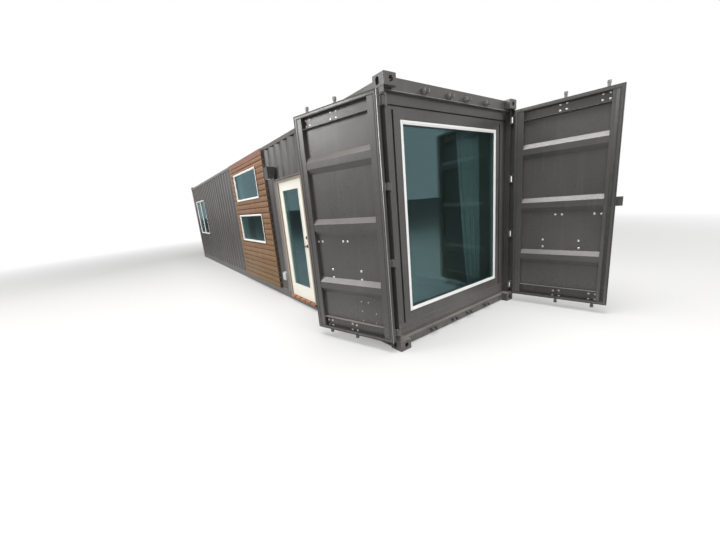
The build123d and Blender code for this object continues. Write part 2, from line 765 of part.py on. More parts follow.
def front_frame_part(edge, y0, y1):
    """Rectangular ring round the front window, drawn in by an edge."""
    outer = inset(front_window_rect(), edge)
    hole = inset(front_window_rect(), WINDOW_FRAME)
    body = block(outer[0], outer[1], y0, y1, outer[2], outer[3])
    return body - block(hole[0], hole[1], y0 - 1, y1 + 1, hole[2], hole[3])


def front_window_frame():
    flange = front_frame_part(0, INFILL_FACE - FRONT_FLANGE, INFILL_FACE)
    body = front_frame_part(FLANGE_OVERLAP + SEAT_GAP, INFILL_FACE, LINING_FRONT)
    return flange.fuse(body)


def front_window_glass():
    x0, x1, z0, z1 = inset(front_window_rect(), WINDOW_FRAME + SEAT_GAP)
    y0 = INFILL_FACE + GLASS_SET_BACK
    return block(x0, x1, y0, y0 + GLASS_THICK, z0, z1)


# Side windows
def side_window_frame(window, wall_face):
    """White window frame: an outer flange and a lining through the wall."""
    hole = inset(window, SIDE_FRAME)
    flange = side_ring(window, hole, wall_face - FRAME_PROUD, wall_face)
    body = side_ring(inset(window, FLANGE_OVERLAP + SEAT_GAP), hole, wall_face, LINING_FACE)
    return flange.fuse(body)


def slider_frame(window, wall_face):
    """White window frame with a meeting stile in the middle."""
    hole = inset(window, SIDE_FRAME)
    middle = (window[0] + window[1]) / 2
    half = MEETING_STILE / 2
    x0 = wall_face + STILE_SET_BACK
    stile = block(x0, x0 + STILE_DEPTH, middle - half, middle + half, hole[2], hole[3])
    return side_window_frame(window, wall_face).fuse(stile)


def side_glass(window, wall_face):
    """One fixed pane."""
    y0, y1, z0, z1 = inset(window, SIDE_FRAME + SEAT_GAP)
    x0 = wall_face + PANE_SET_BACK
    return block(x0, x0 + PANE_THICK, y0, y1, z0, z1)


def slider_glass(window, wall_face):
    """Two panes, one each side of the meeting stile."""
    y0, y1, z0, z1 = inset(window, SIDE_FRAME + SEAT_GAP)
    middle = (window[0] + window[1]) / 2
    half = MEETING_STILE / 2 + SEAT_GAP
    x0 = wall_face + PANE_SET_BACK
    x1 = x0 + PANE_THICK
    return [block(x0, x1, y0, middle - half, z0, z1), block(x0, x1, middle + half, y1, z0, z1)]


# Timber cladding
def cladding_boards():
    body = block(CLAD_FACE, CLAD_BACK, CLAD_FRONT_Y, CLAD_FRONT_Y + CLAD_WIDTH, CLAD_BOTTOM, CLAD_TOP)
    return with_window_holes(body, (UPPER_WINDOW, LOWER_WINDOW))


def cladding_battens():
    """Upright battens between the wall and the boards, cut round the windows."""
    x1 = WALL_SET_IN - SEAT_GAP
    z0 = RAIL_TOP + SEAT_GAP
    z1 = WALL_TOP - SEAT_GAP
    pieces = []
    for y0 in spread(CLAD_FRONT_Y, CLAD_FRONT_Y + CLAD_WIDTH - BATTEN_WIDTH, BATTEN_COUNT):
        stick = block(CLAD_BACK, x1, y0, y0 + BATTEN_WIDTH, z0, z1)
        for window in (UPPER_WINDOW, LOWER_WINDOW):
            stick = stick - block(CLAD_BACK - 1, x1 + 1, window[0], window[1], window[2], window[3])
        pieces.append(stick)
    return pieces


def cladding_top_trim():
    y0 = CLAD_FRONT_Y - TRIM_OVERHANG
    y1 = CLAD_FRONT_Y + CLAD_WIDTH + TRIM_OVERHANG
    return block(CLAD_BACK - TRIM_THICK, CLAD_BACK, y0, y1, CLAD_TOP, TRIM_TOP)


# Entrance door
def door_casing():
    """Steel casing round the doorway with a drip cap over it."""
    y0 = DOORWAY_FRONT - CASING_WIDTH
    y1 = DOORWAY_REAR + CASING_WIDTH
    pieces = [
        block(CASING_FACE, WALL_SET_IN, y0, DOORWAY_FRONT, RAIL_TOP, CASING_TOP),
        block(CASING_FACE, WALL_SET_IN, DOORWAY_REAR, y1, RAIL_TOP, CASING_TOP),
        block(CASING_FACE, WALL_SET_IN, DOORWAY_FRONT, DOORWAY_REAR, DOORWAY_HEAD, CASING_TOP),
    ]
    x0 = CASING_FACE - DRIP_REACH
    cap = [
        (x0, CASING_TOP - DRIP_RISE),
        (x0 + DRIP_THICK, CASING_TOP - DRIP_RISE),
        (x0 + DRIP_THICK, CASING_TOP),
        (WALL_SET_IN, CASING_TOP),
        (WALL_SET_IN, CASING_TOP + DRIP_RISE),
        (x0, CASING_TOP + DRIP_THICK),
    ]
    pieces.append(prism_y(cap, y0 - DRIP_OVERHANG, y1 + DRIP_OVERHANG))
    return fused(pieces)


def door_jamb():
    """Timber jamb legs and head through the wall, with a stop on the outside of the slab."""
    front = DOORWAY_FRONT + JAMB_THICK
    rear = DOORWAY_REAR - JAMB_THICK
    head = DOORWAY_HEAD - JAMB_HEAD
    hinge_side = DOOR_FACE + DOOR_THICK
    stop_x1 = DOOR_FACE - STOP_GAP
    pieces = [
        block(JAMB_FACE, LINING_FACE, DOORWAY_FRONT, front, FLOOR_TOP, DOORWAY_HEAD),
        block(JAMB_FACE, hinge_side, rear, DOORWAY_REAR, FLOOR_TOP, DOORWAY_HEAD),
        block(JAMB_FACE, LINING_FACE, front, rear, head, DOORWAY_HEAD),
        block(JAMB_FACE, stop_x1, front, front + JAMB_STOP, FLOOR_TOP, head),
        block(JAMB_FACE, stop_x1, rear - JAMB_STOP, rear, FLOOR_TOP, head),
        block(JAMB_FACE, stop_x1, front, rear, head - JAMB_STOP, head),
    ]
    return fused(pieces)


def door_sill():
    """Sill board under the door, from the edge of the floor over the cut rail to the outside."""
    x0 = JAMB_FACE - SILL_NOSE
    return block(x0, RAIL_INNER, DOORWAY_FRONT, DOORWAY_REAR, FLOOR_TOP - SILL_BOARD, FLOOR_TOP)


def door_glass_rect():
    """(y0, y1, z0, z1) of the glass in the entrance door."""
    z1 = DOOR_BOTTOM + DOOR_HEIGHT - DOOR_TOP_RAIL
    return (DOOR_FRONT_Y + DOOR_STILE, DOOR_REAR_Y - DOOR_STILE, DOOR_BOTTOM + DOOR_BOTTOM_RAIL, z1)


def man_door():
    """Door slab with a raised bead round its glass on both faces."""
    slab = (DOOR_FRONT_Y, DOOR_REAR_Y, DOOR_BOTTOM, DOOR_BOTTOM + DOOR_HEIGHT)
    hole = door_glass_rect()
    bead = inset(hole, -GLASS_BEAD)
    x0 = DOOR_FACE
    x1 = DOOR_FACE + DOOR_THICK
    pieces = [
        side_ring(slab, hole, x0, x1),
        side_ring(bead, hole, x0 - BEAD_PROUD, x0),
        side_ring(bead, hole, x1, x1 + BEAD_PROUD),
    ]
    return fused(pieces)


def man_door_glass():
    y0, y1, z0, z1 = inset(door_glass_rect(), SEAT_GAP)
    x0 = DOOR_FACE + (DOOR_THICK - GLASS_THICK) / 2
    return block(x0, x0 + GLASS_THICK, y0, y1, z0, z1)


def lever(face, side):
    """Round rose, neck and lever on one face of the door."""
    y = DOOR_FRONT_Y + LEVER_SET_IN
    z = DOOR_BOTTOM + LEVER_Z
    turn = Rot(0, 90, 0)
    rose = Pos(face + side * ROSE_THICK / 2, y, z) * turn * Cylinder(ROSE_RADIUS, ROSE_THICK)
    neck = Pos(face + side * NECK_LENGTH / 2, y, z) * turn * Cylinder(NECK_RADIUS, NECK_LENGTH)
    bar = Pos(face + side * NECK_LENGTH, y + LEVER_LENGTH / 2 - NECK_RADIUS, z) * Box(
        NECK_RADIUS, LEVER_LENGTH, 2 * NECK_RADIUS
    )
    return fused([rose, neck, fillet(bar.edges().filter_by(Axis.X), NECK_RADIUS * 0.9)])


def man_door_hardware():
    """Lever handles on both faces and the hinge knuckles with their flaps."""
    inner = DOOR_FACE + DOOR_THICK
    pieces = [lever(DOOR_FACE, -1), lever(inner, 1)]
    y = DOOR_REAR_Y + DOOR_GAP / 2
    radius = DOOR_HINGE_RADIUS
    half = DOOR_HINGE_LENGTH / 2
    low = DOOR_BOTTOM + DOOR_HINGE_MARGIN
    high = DOOR_BOTTOM + DOOR_HEIGHT - DOOR_HINGE_MARGIN
    for z in spread(low, high, DOOR_HINGE_COUNT):
        knuckle = Pos(inner + radius, y, z) * Cylinder(radius, DOOR_HINGE_LENGTH)
        flap = block(inner, inner + DOOR_FLAP_THICK, y - DOOR_FLAP, y, z - half, z + half)
        pieces.append(knuckle.fuse(flap))
    return pieces


# Small fittings
def wall_light():
    """Box-shaped wall light over the rear corner of the entrance, cut away below at its back."""
    x1 = WALL_SET_IN - SEAT_GAP
    x0 = x1 - LIGHT_DEPTH
    z0 = CASING_TOP + LIGHT_RISE
    z1 = z0 + LIGHT_HEIGHT
    outline = [(x1, z1), (x0, z1), (x0, z0), (x0 + LIGHT_FOOT, z0), (x1, z0 + LIGHT_FOOT_RISE)]
    body = prism_y(outline, LIGHT_FRONT_Y, LIGHT_FRONT_Y + LIGHT_WIDTH)
    return fillet(body.edges().filter_by(Axis.Y).group_by(Axis.X)[0], LIGHT_EDGE)


def outlet_box():
    """Weatherproof outlet box on a flat of the wall sheet."""
    x1 = WALL_SET_IN - SEAT_GAP
    y1 = OUTLET_FRONT_Y + OUTLET_WIDTH
    body = block(x1 - OUTLET_DEPTH, x1, OUTLET_FRONT_Y, y1, OUTLET_BOTTOM, OUTLET_BOTTOM + OUTLET_HEIGHT)
    return fillet(body.edges().filter_by(Axis.X), OUTLET_CORNER)


def curtain():
    """Plain stand-in for the gathered curtain, hung from the ceiling."""
    x1 = WIDTH - CURTAIN_FROM_SIDE
    y0 = LINING_FRONT + CURTAIN_SPACE
    z0 = FLOOR_TOP + CURTAIN_RISE
    return block(x1 - CURTAIN_WIDTH, x1, y0, y0 + CURTAIN_THICK, z0, CEILING_Z - SEAT_GAP)


# Cargo door leaves: drawn shut about their own pin, X along the leaf, Y into the cabin
def leaf_frame():
    """Welded frame: two box stiles and two channel rails open to the inside."""
    wall = LEAF_FRAME_WALL
    z_low = LEAF_BOTTOM + wall
    z_high = LEAF_TOP - wall
    pieces = []
    for x0, x1 in ((LEAF_EDGE, PANEL_X0), (PANEL_X1, LEAF_FREE)):
        stile = block(x0, x1, LEAF_OUTER, LEAF_INNER, LEAF_BOTTOM, LEAF_TOP)
        core = block(x0 + wall, x1 - wall, LEAF_OUTER + wall, LEAF_INNER - wall, z_low, z_high)
        pieces.append(stile - core)
    for z0 in (LEAF_BOTTOM, PANEL_Z1):
        z1 = z0 + LEAF_RAIL
        rail = block(PANEL_X0, PANEL_X1, LEAF_OUTER, LEAF_INNER, z0, z1)
        trough = block(PANEL_X0, PANEL_X1, LEAF_OUTER + wall, LEAF_INNER + 1, z0 + wall, z1 - wall)
        pieces.append(rail - trough)
    return fused(pieces)


def leaf_panel():
    """Sheet between the frame members, pressed with ribs to the inside."""
    high = LEAF_INNER - RIB_CLEAR - LEAF_SHEET
    half = RIB_FLAT / 2
    fold = [(PANEL_FACE, PANEL_Z0)]
    for middle in RIB_HEIGHTS:
        fold.append((PANEL_FACE, middle - half - RIB_SLOPE))
        fold.append((high, middle - half))
        fold.append((high, middle + half))
        fold.append((PANEL_FACE, middle + half + RIB_SLOPE))
    fold.append((PANEL_FACE, PANEL_Z1))
    back = [(y + LEAF_SHEET, z) for y, z in reversed(fold)]
    return prism_x(fold + back, PANEL_X0, PANEL_X1)


def leaf_gasket(lap):
    """Rubber seal round the inner face of the leaf, reaching past its free edge by a lap."""
    outer = (LEAF_EDGE, LEAF_FREE, LEAF_BOTTOM, LEAF_TOP)
    hole = inset(outer, GASKET_WIDTH)
    y0 = LEAF_INNER
    y1 = LEAF_INNER + GASKET_THICK
    body = block(outer[0], outer[1] + lap, y0, y1, outer[2], outer[3])
    return body - block(hole[0], hole[1], y0 - 1, y1 + 1, hole[2], hole[3])


def rod_bracket(x, z):
    """Plate with a saddle that holds a lock rod to the leaf, padded out over the panel."""
    half = BRACKET_WIDTH / 2
    high = BRACKET_HEIGHT / 2
    face = LEAF_OUTER - BRACKET_PLATE
    radius = ROD_RADIUS + SADDLE_WALL
    pieces = [
        block(x - half, x + half, face, LEAF_OUTER, z - high, z + high),
        Pos(x, ROD_Y, z) * Cylinder(radius, SADDLE_HEIGHT),
        block(x - radius, x + radius, ROD_Y, face, z - SADDLE_HEIGHT / 2, z + SADDLE_HEIGHT / 2),
    ]
    if PANEL_Z0 < z < PANEL_Z1:
        pad_end = min(x + half, PANEL_X1)
        pieces.append(block(x - half, pad_end, LEAF_OUTER, PANEL_FACE, z - high, z + high))
    return fused(pieces)


def lock_rod(x):
    """One lock rod with its cams, brackets, hub and handle."""
    low = LOWER_KEEPER_Z
    high = UPPER_KEEPER_Z
    pieces = [Pos(x, ROD_Y, (low + high) / 2) * Cylinder(ROD_RADIUS, high - low)]
    for z in (low, high):
        cam = Pos(x, ROD_Y, z) * Box(CAM_WIDTH, CAM_DEPTH, CAM_HEIGHT)
        pieces.append(chamfer(cam.edges().filter_by(Axis.Z), CAM_CHAMFER))
    for z in (LEAF_TOP - TOP_BRACKET_DROP, MIDDLE_BRACKET_Z, LEAF_BOTTOM + BOTTOM_BRACKET_RISE):
        pieces.append(rod_bracket(x, z))
    pieces.append(Pos(x, ROD_Y, HANDLE_Z) * Cylinder(ROD_RADIUS + HANDLE_HUB_WALL, HANDLE_HUB_HEIGHT))
    y1 = ROD_Y - ROD_RADIUS
    half = HANDLE_BAR / 2
    pieces.append(block(x - HANDLE_LENGTH, x, y1 - HANDLE_THICK, y1, HANDLE_Z - half, HANDLE_Z + half))
    return fused(pieces)


def handle_retainer(x):
    """Shelf under the free part of a handle, on a plate bolted to the leaf."""
    z1 = HANDLE_Z - HANDLE_BAR / 2 - SEAT_GAP
    half = RETAINER_WIDTH / 2
    face = LEAF_OUTER - BRACKET_PLATE
    plate = block(x - half, x + half, face, PANEL_FACE, z1 - RETAINER_HEIGHT, z1)
    shelf = block(x - half, x + half, ROD_Y - ROD_RADIUS - HANDLE_THICK, face, z1 - RETAINER_SHELF, z1)
    return plate.fuse(shelf)


def leaf_lock_gear():
    pieces = []
    for x in ROD_PLACES:
        pieces.append(lock_rod(x))
        pieces.append(handle_retainer(x - RETAINER_FROM_ROD))
    return pieces


def leaf_hinges():
    """Forged straps that start tangent to the pin and bend round the post front to the leaf."""
    tip = LEAF_EDGE + STRAP_REACH
    flat = [STRAP_KNEE, (tip, LEAF_OUTER - STRAP_THICK), (tip, LEAF_OUTER)]
    outline = list(STRAP_OUTER_BEND) + flat + list(STRAP_INNER_BEND)
    pieces = []
    for height in HINGE_HEIGHTS:
        z0 = height - HINGE_LENGTH / 2
        strap = prism_z(outline, z0, z0 + HINGE_LENGTH)
        knuckle = Pos(0, 0, height) * Cylinder(KNUCKLE_RADIUS, HINGE_LENGTH)
        pieces.append(strap.fuse(knuckle))
    return pieces


def catch_plate():
    """Plate on the right leaf that overlaps the left one, stood off by a packer."""
    z0 = CATCH_BOTTOM
    z1 = CATCH_BOTTOM + CATCH_HEIGHT
    front = LEAF_OUTER - CATCH_CLEAR
    packer = block(LEAF_FREE - CATCH_LAP, LEAF_FREE, front, LEAF_OUTER, z0, z1)
    plate = block(LEAF_FREE - CATCH_LAP, LEAF_FREE + CATCH_REACH, front - CATCH_THICK, front, z0, z1)
    return packer.fuse(plate)


def place_left_leaf(shape):
    """Swing a shut leaf to its place at rest on the left pin line."""
    return Pos(PIN_X, PIN_Y, 0) * Rot(0, 0, -LEFT_LEAF_OPEN) * shape


def place_right_leaf(shape):
    """Mirror a shut leaf and swing it to rest on the right pin line."""
    flipped = mirror(shape, about=Plane.YZ)
    return Pos(WIDTH - PIN_X, PIN_Y, 0) * Rot(0, 0, RIGHT_LEAF_OPEN) * flipped


def leaf_nodes(side, place, lap):
    write_node(side + "_leaf_frame", [place(leaf_frame())])
    write_node(side + "_leaf_panel", [place(leaf_panel())])
    write_node(side + "_leaf_gasket", [place(leaf_gasket(lap))])
    write_node(side + "_leaf_lock_rods", [place(piece) for piece in leaf_lock_gear()])
    write_node(side + "_leaf_hinges", [place(piece) for piece in leaf_hinges()])


def container_nodes():
    write_node("corner_castings", corner_castings())
    post = front_post()
    write_node("front_posts", [post, mirror_x(post)])
    write_node("front_header", [front_header()])
    write_node("front_sill", [front_sill()])
    write_node("cam_keepers", cam_keepers())
    write_node("rear_posts", rear_posts())
    write_node("rear_rails", rear_rails())
    write_node("top_side_rails", top_side_rails())
    write_node("bottom_side_rails", bottom_side_rails())
    write_node("cross_members", cross_members())
    write_node("floor", [floor()])
    write_node("roof_panel", [roof_panel()])
    write_node("left_wall_front", [left_wall_front()])
    write_node("left_wall_over_door", [left_wall_over_door()])
    write_node("left_wall_rear", [left_wall_rear()])
    write_node("right_wall", [right_wall()])
    write_node("rear_wall", [rear_wall()])


def lining_nodes():
    write_node("left_lining_front", [left_lining(LINING_FRONT, DOORWAY_FRONT, FLOOR_TOP)])
    write_node("left_lining_over_door", [left_lining(DOORWAY_FRONT, DOORWAY_REAR, DOORWAY_HEAD)])
    write_node("left_lining_rear", [left_lining_rear()])
    write_node("right_lining", [right_lining()])
    write_node("rear_lining", [rear_lining()])
    write_node("ceiling", [ceiling()])


def window_nodes():
    write_node("front_wall", [front_wall()])
    write_node("front_window_frame", [front_window_frame()])
    write_node("front_window_glass", [front_window_glass()])
    write_node("upper_window_frame", [side_window_frame(UPPER_WINDOW, CLAD_FACE)])
    write_node("lower_window_frame", [side_window_frame(LOWER_WINDOW, CLAD_FACE)])
    write_node("rear_window_frame", [slider_frame(REAR_WINDOW, WALL_SET_IN)])
    panes = [side_glass(UPPER_WINDOW, CLAD_FACE), side_glass(LOWER_WINDOW, CLAD_FACE)]
    write_node("side_window_glass", panes + slider_glass(REAR_WINDOW, WALL_SET_IN))
    write_node("curtain", [curtain()])


def side_nodes():
    write_node("cladding_boards", [cladding_boards()])
    write_node("cladding_battens", cladding_battens())
    write_node("cladding_top_trim", [cladding_top_trim()])
    write_node("door_casing", [door_casing()])
    write_node("door_jamb", [door_jamb()])
    write_node("door_sill", [door_sill()])
    write_node("man_door", [man_door()])
    write_node("man_door_glass", [man_door_glass()])
    write_node("man_door_hardware", man_door_hardware())
    write_node("wall_light", [wall_light()])
    write_node("outlet_box", [outlet_box()])


def main():
    os.makedirs("parts", exist_ok=True)
    container_nodes()
    lining_nodes()
    window_nodes()
    side_nodes()
    leaf_nodes("left", place_left_leaf, GASKET_LAP)
    leaf_nodes("right", place_right_leaf, 0)
    write_node("right_leaf_catch", [place_right_leaf(catch_plate())])


main()
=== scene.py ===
import math

import bmesh
import bpy
import numpy as np
from bpy.props import FloatProperty, FloatVectorProperty, IntProperty, PointerProperty
from mathutils import Matrix, Vector


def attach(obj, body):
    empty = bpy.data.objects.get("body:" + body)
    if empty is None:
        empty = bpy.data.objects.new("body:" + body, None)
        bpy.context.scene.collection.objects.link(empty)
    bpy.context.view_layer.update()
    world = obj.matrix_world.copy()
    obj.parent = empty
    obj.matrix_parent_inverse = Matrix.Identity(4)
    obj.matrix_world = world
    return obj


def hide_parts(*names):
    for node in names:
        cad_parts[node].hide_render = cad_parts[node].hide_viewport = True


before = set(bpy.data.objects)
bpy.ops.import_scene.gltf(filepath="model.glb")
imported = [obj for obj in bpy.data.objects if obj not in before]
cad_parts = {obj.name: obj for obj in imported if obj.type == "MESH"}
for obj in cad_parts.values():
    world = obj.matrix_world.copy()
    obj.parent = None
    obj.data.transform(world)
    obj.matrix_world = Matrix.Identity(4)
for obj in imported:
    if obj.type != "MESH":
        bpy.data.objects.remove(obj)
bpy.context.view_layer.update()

bl_info = {
    "name": "Container Cabin Looks",
    "version": (1, 0, 0),
    "blender": (4, 5, 0),
    "location": "View3D > Sidebar > Cabin",
    "description": "Finishes, timber boards, windows, seals, bolts and curtain of a shipping container cabin",
    "category": "Object",
}

# The cabin's sizes in millimetres, drawn as its construction is: X across the end with the cargo
# doors from its left, Y back along the length, Z up. A rectangle is (low, high, bottom, top).
LENGTH = 12192.0
WIDTH = 2438.0
WALL_SET_IN = 6.0
FLOOR_TOP = 125.0

# What a new piece keeps clear of, or sinks into, the solid beside it
CLEAR = 0.5
HAIR = 0.4
SEAT = 0.2

# End frame and its weld beads
POST_INNER = 49.0
POST_BACK = 124.0
BAND_FACE = 125.0
CASTING_Z = 118.0
HEADER_UNDER = 2751.0
SILL_TOP = 166.0
POST_WELD = 2.6
BAND_WELD = 2.4
WELD_END = 4.0
WELD_STEPS = 260

# Cargo door leaves, drawn shut; their pins, and how far they stand open, in degrees
PIN_X = 18.0
PIN_Y = 22.0
LEFT_OPEN = 253.1
RIGHT_OPEN = 99.8
LEAF_EDGE = 38.0
LEAF_FREE = 1195.0
LEAF_OUTER = 43.0
LEAF_INNER = 93.0
LEAF_BOTTOM = 124.0
LEAF_TOP = 2745.0
LEAF_RAIL = 166.0
RAIL_SKIN = 4.0
PANEL_FACE = 49.0
PANEL_SKIN = 2.5

# Leaf seals: (outward, outward) of each strip from the leaf's outline, and how far each stands up
GASKET_WIDTH = 44.0
GASKET_LAP = 7.0
LAP_SHORT = 1.0
OUTER_LIP = (-10.0, -0.5)
INNER_LIP = (0.5 - GASKET_WIDTH, -35.0)
LIP_PROUD = 3.0
LIP_EDGE = 1.3
STRIP = (-34.5, -10.5)
STRIP_PROUD = 2.4
STRIP_EDGE = 0.7
WIDE_LIP = (76.0, 45.0)
WIDE_LIP_PROUD = (0.1, 2.0)
WIDE_LIP_END = 50.0
TRIM_WIDTH = 4.0
TRIM_PROUD = 3.2
TRIM_END = 2.0
STRIP_SCREW_IN = 22.0
STRIP_SCREW_ROWS = (14, 60.0)
STRIP_SCREW_COLUMNS = (6, 80.0)

# Windows
FRONT_WINDOW = (304.5, 2133.5, 383.0, 2517.0)
UPPER_WINDOW = (3852.0, 5427.0, 1972.0, 2577.0)
LOWER_WINDOW = (3852.0, 5427.0, 1052.0, 1657.0)
REAR_WINDOW = (10010.0, 11610.0, 1050.0, 2290.0)
INFILL_FACE = 130.0
WINDOW_FRAME = 24.0
GLASS_SET_BACK = 10.0
SIDE_FRAME = 26.0
FRAME_PROUD = 12.0
MEETING_STILE = 40.0
PANE_SET_BACK = 14.0
FLANGE_OVERLAP = 10.0
BEAD_WIDTH = 11.0
SASH_WIDTH = 22.0
FRONT_BEAD = 16.0
BEAD_PROUD = 2.0
SEAL_WIDTH = 4.0
SEAL_GAP = 0.3
CAULK_WIDTH = 4.5

# Timber cladding
CLAD_FRONT = 3427.0
CLAD_REAR = 5713.0
CLAD_BOTTOM = 165.0
CLAD_TOP = 2722.0
CLAD_JOINT = 376.0
CLAD_BACK = -32.0
CLAD_FACE = -52.0
LEAST_ROW = 30.0
BOARD_EDGE = 3.0
BOARD_PROUD = 1.6
BOARD_PLAY = 5.0
RED_LOW = 0.05
RED_RISE = 0.8
RED_SCATTER = 0.16
BATTEN_PLACES = np.linspace(3449.5, 5690.5, 6)
BATTEN_ROOM = 15.0
SCREWED_HEIGHT = 60.0
SCREW_IN = 28.0
SPACER_PROUD = 1.5
SPACER_HALF = 7.0

# Entrance door
DOOR_FACE = 10.0
DOOR_THICK = 44.0
DOOR_FRONT = 2018.0
DOOR_REAR = 2932.0
DOOR_BOTTOM = 131.0
DOORWAY_FRONT = 1979.0
DOORWAY_REAR = 2971.0
SILL_BLOCKS = 5
SILL_GAP = 18.0
SILL_DEEP = 40.0
SILL_X = (-32.0, 51.5)
BED_X = (-26.0, 50.0)
BED_Z = (-38.0, -6.0)
SWEEP_IN = 4.0
SWEEP_END = 3.0
SWEEP_Z = (-4.5, 1.0)
DEADBOLT_IN = 60.0
DEADBOLT_RISE = 1100.0

# Wall light and outlet
LIGHT_FRONT = 2972.0
LIGHT_WIDTH = 160.0
LIGHT_BOTTOM = 2244.0
LIGHT_HEIGHT = 205.0
LIGHT_DEPTH = 150.0
LIGHT_FOOT = 80.0
LIGHT_FOOT_RISE = 85.0
LIGHT_PLATE = 14.0
LIGHT_LIP = 6.0
LIGHT_EASE = 2.5
PLATE_IN = 8.0
LENS_IN = 16.0
LENS_X = (12.0, 72.0)
LENS_SUNK = 4.0
OUTLET_FRONT = 3085.0
OUTLET_WIDTH = 130.0
OUTLET_BOTTOM = 368.0
OUTLET_HEIGHT = 165.0
OUTLET_DEPTH = 52.0
OUTLET_BASE = 16.0
COVER_IN = 7.0
COVER_TOP_IN = 12.0
COVER_HINGE_IN = 20.0
HINGE_X = (-24.0, -15.0)
HINGE_Z = (-13.0, -3.0)

# Curtain
CURTAIN_X = (1488.0, 2108.0)
CURTAIN_Y = (330.0, 400.0)
CURTAIN_Z = (170.0, 2761.5)
CURTAIN_FREE = 60.0
CURTAIN_MARGIN = 12.0
FOLD_LEAN = 9.0
CLOTH_ACROSS = 300
CLOTH_DOWN = 90
CLOTH_TOP_IN = 2.0
CLOTH_SHORT = 6.0
CLOTH_THICK = 0.0016

# Profiles of turned heads as (radius, height), and the axes that set them on a wall or on a leaf
BOARD_SCREW = [(0.4, -0.9), (3.4, -0.9), (4.4, -0.3), (4.4, 0.6), (0.4, 0.6)]
LEAF_SCREW = [(0.4, -0.6), (6.0, -0.6), (6.0, 1.2), (4.0, 2.2), (0.4, 2.4)]
STRIP_SCREW = [(0.4, -0.5), (5.0, -0.5), (5.0, 0.4), (3.4, 1.0), (0.4, 1.1)]
DEADBOLT = [(0.5, 1), (26, 1), (26, -6), (22, -9), (12, -9), (12, -13), (0.5, -13)]
ON_WALL = ((0, 1, 0), (0, 0, 1), (1, 0, 0))
ON_LEAF = ((1, 0, 0), (0, 0, 1), (0, 1, 0))

# (distance from the pin, height) of the bolt heads on each leaf, and of the left leaf's small screws
LEAF_BOLTS = {
    "left": [
        (1054, 2680), (988, 2679), (1054, 2614), (988, 2615), (666, 2680), (590, 2682),
        (670, 2613), (590, 2616), (1068, 1274), (1000, 1275), (667, 1276), (599, 1277),
        (879, 926), (876, 825), (437, 927), (438, 827), (1056, 228), (988, 230),
        (1054, 160), (986, 161), (654, 238), (585, 229), (658, 157), (580, 159),
    ],
    "right": [
        (565, 2684), (636, 2688), (565, 2612), (636, 2614), (992, 2688), (1062, 2689),
        (991, 2620), (1063, 2620), (566, 1308), (644, 1306), (996, 1303), (1066, 1300),
        (427, 962), (847, 952), (853, 854), (430, 864), (998, 244), (1068, 244),
        (998, 167), (1068, 168), (654, 238), (585, 229), (658, 157), (580, 159),
    ],
}
LEAF_SCREWS = [(478, 555), (375, 555), (475, 435), (272, 429), (472, 314), (283, 309)]

SMOOTH_ANGLE = math.radians(38)

# Colours of what settles on the finishes
DUST = (0.30, 0.28, 0.25)
RUST = (0.16, 0.085, 0.05)
GRIME = (0.26, 0.23, 0.19)
WEATHER = (0.30, 0.26, 0.22)
BLOOM = (0.10, 0.10, 0.10)

# Camera, floor and lamps in the model's metres, with the lens in millimetres
CAMERA_LENS = 15.2089
CAMERA_SENSOR = 36.0
CAMERA_CLIP = (0.05, 400.0)
CAMERA_PLACE = Matrix((
    (-0.590727, 0.124551, -0.797200, -8.470090),
    (-0.801932, -0.199780, 0.563021, 3.371903),
    (-0.089140, 0.971892, 0.217898, 1.714703),
    (0.0, 0.0, 0.0, 1.0),
))
FLOOR_RADII = (0.001, 6.0, 14.0, 30.0, 80.0, 200.0)
FLOOR_STEPS = 96
FLOOR_FADE = (7.5, 17.0)

# Name, place, target and width of the lamp behind each power setting
LAMPS = {
    "key": ("Key lamp", (1.0, 12.0, 7.5), (-2.5, 0.0, 1.3), 6.0),
    "overhead": ("Overhead lamp", (-6.0, 1.5, 12.0), (-5.0, 0.0, 1.5), 10.0),
    "fill": ("Fill lamp", (-17.0, -2.0, 4.5), (-6.0, 0.0, 1.4), 4.0),
}

# The finishes, made once by their operator, that each new piece takes by name
FINISHES = {}

# The finish of each solid that stays in view
NODE_FINISHES = {
    "paint": (
        "corner_castings", "front_posts", "front_header", "front_sill", "rear_posts", "rear_rails",
        "top_side_rails", "bottom_side_rails", "cross_members", "roof_panel", "left_wall_front",
        "left_wall_over_door", "left_wall_rear", "right_wall", "rear_wall", "front_wall", "left_leaf_frame",
        "left_leaf_panel", "right_leaf_frame", "right_leaf_panel", "right_leaf_catch",
    ),
    "rod": ("left_leaf_lock_rods", "right_leaf_lock_rods", "cam_keepers"),
    "hinge": ("left_leaf_hinges", "right_leaf_hinges"),
    "rubber": ("left_leaf_gasket", "right_leaf_gasket"),
    "vinyl": ("front_window_frame", "upper_window_frame", "lower_window_frame", "rear_window_frame"),
    "glass": ("front_window_glass", "side_window_glass", "man_door_glass"),
    "door": ("man_door",),
    "casing": ("door_casing",),
    "fitting": ("man_door_hardware", "wall_light"),
    "silver": ("outlet_box",),
    "stained": ("cladding_top_trim",),
    "jamb": ("door_jamb",),
    "boards": ("door_sill", "cladding_boards"),
    "batten": ("cladding_battens",),
    "planks": ("floor",),
    "lining": (
        "left_lining_front", "left_lining_over_door", "left_lining_rear", "right_lining", "rear_lining",
        "ceiling",
    ),
}


# Places
def to_model(points):
    """Drawing millimetres to the model's metres: (Y - length/2, width/2 - X, Z) / 1000."""
    p = np.asarray(points, float)
    return np.stack([p[..., 1] - LENGTH / 2, WIDTH / 2 - p[..., 0], p[..., 2]], -1) / 1000


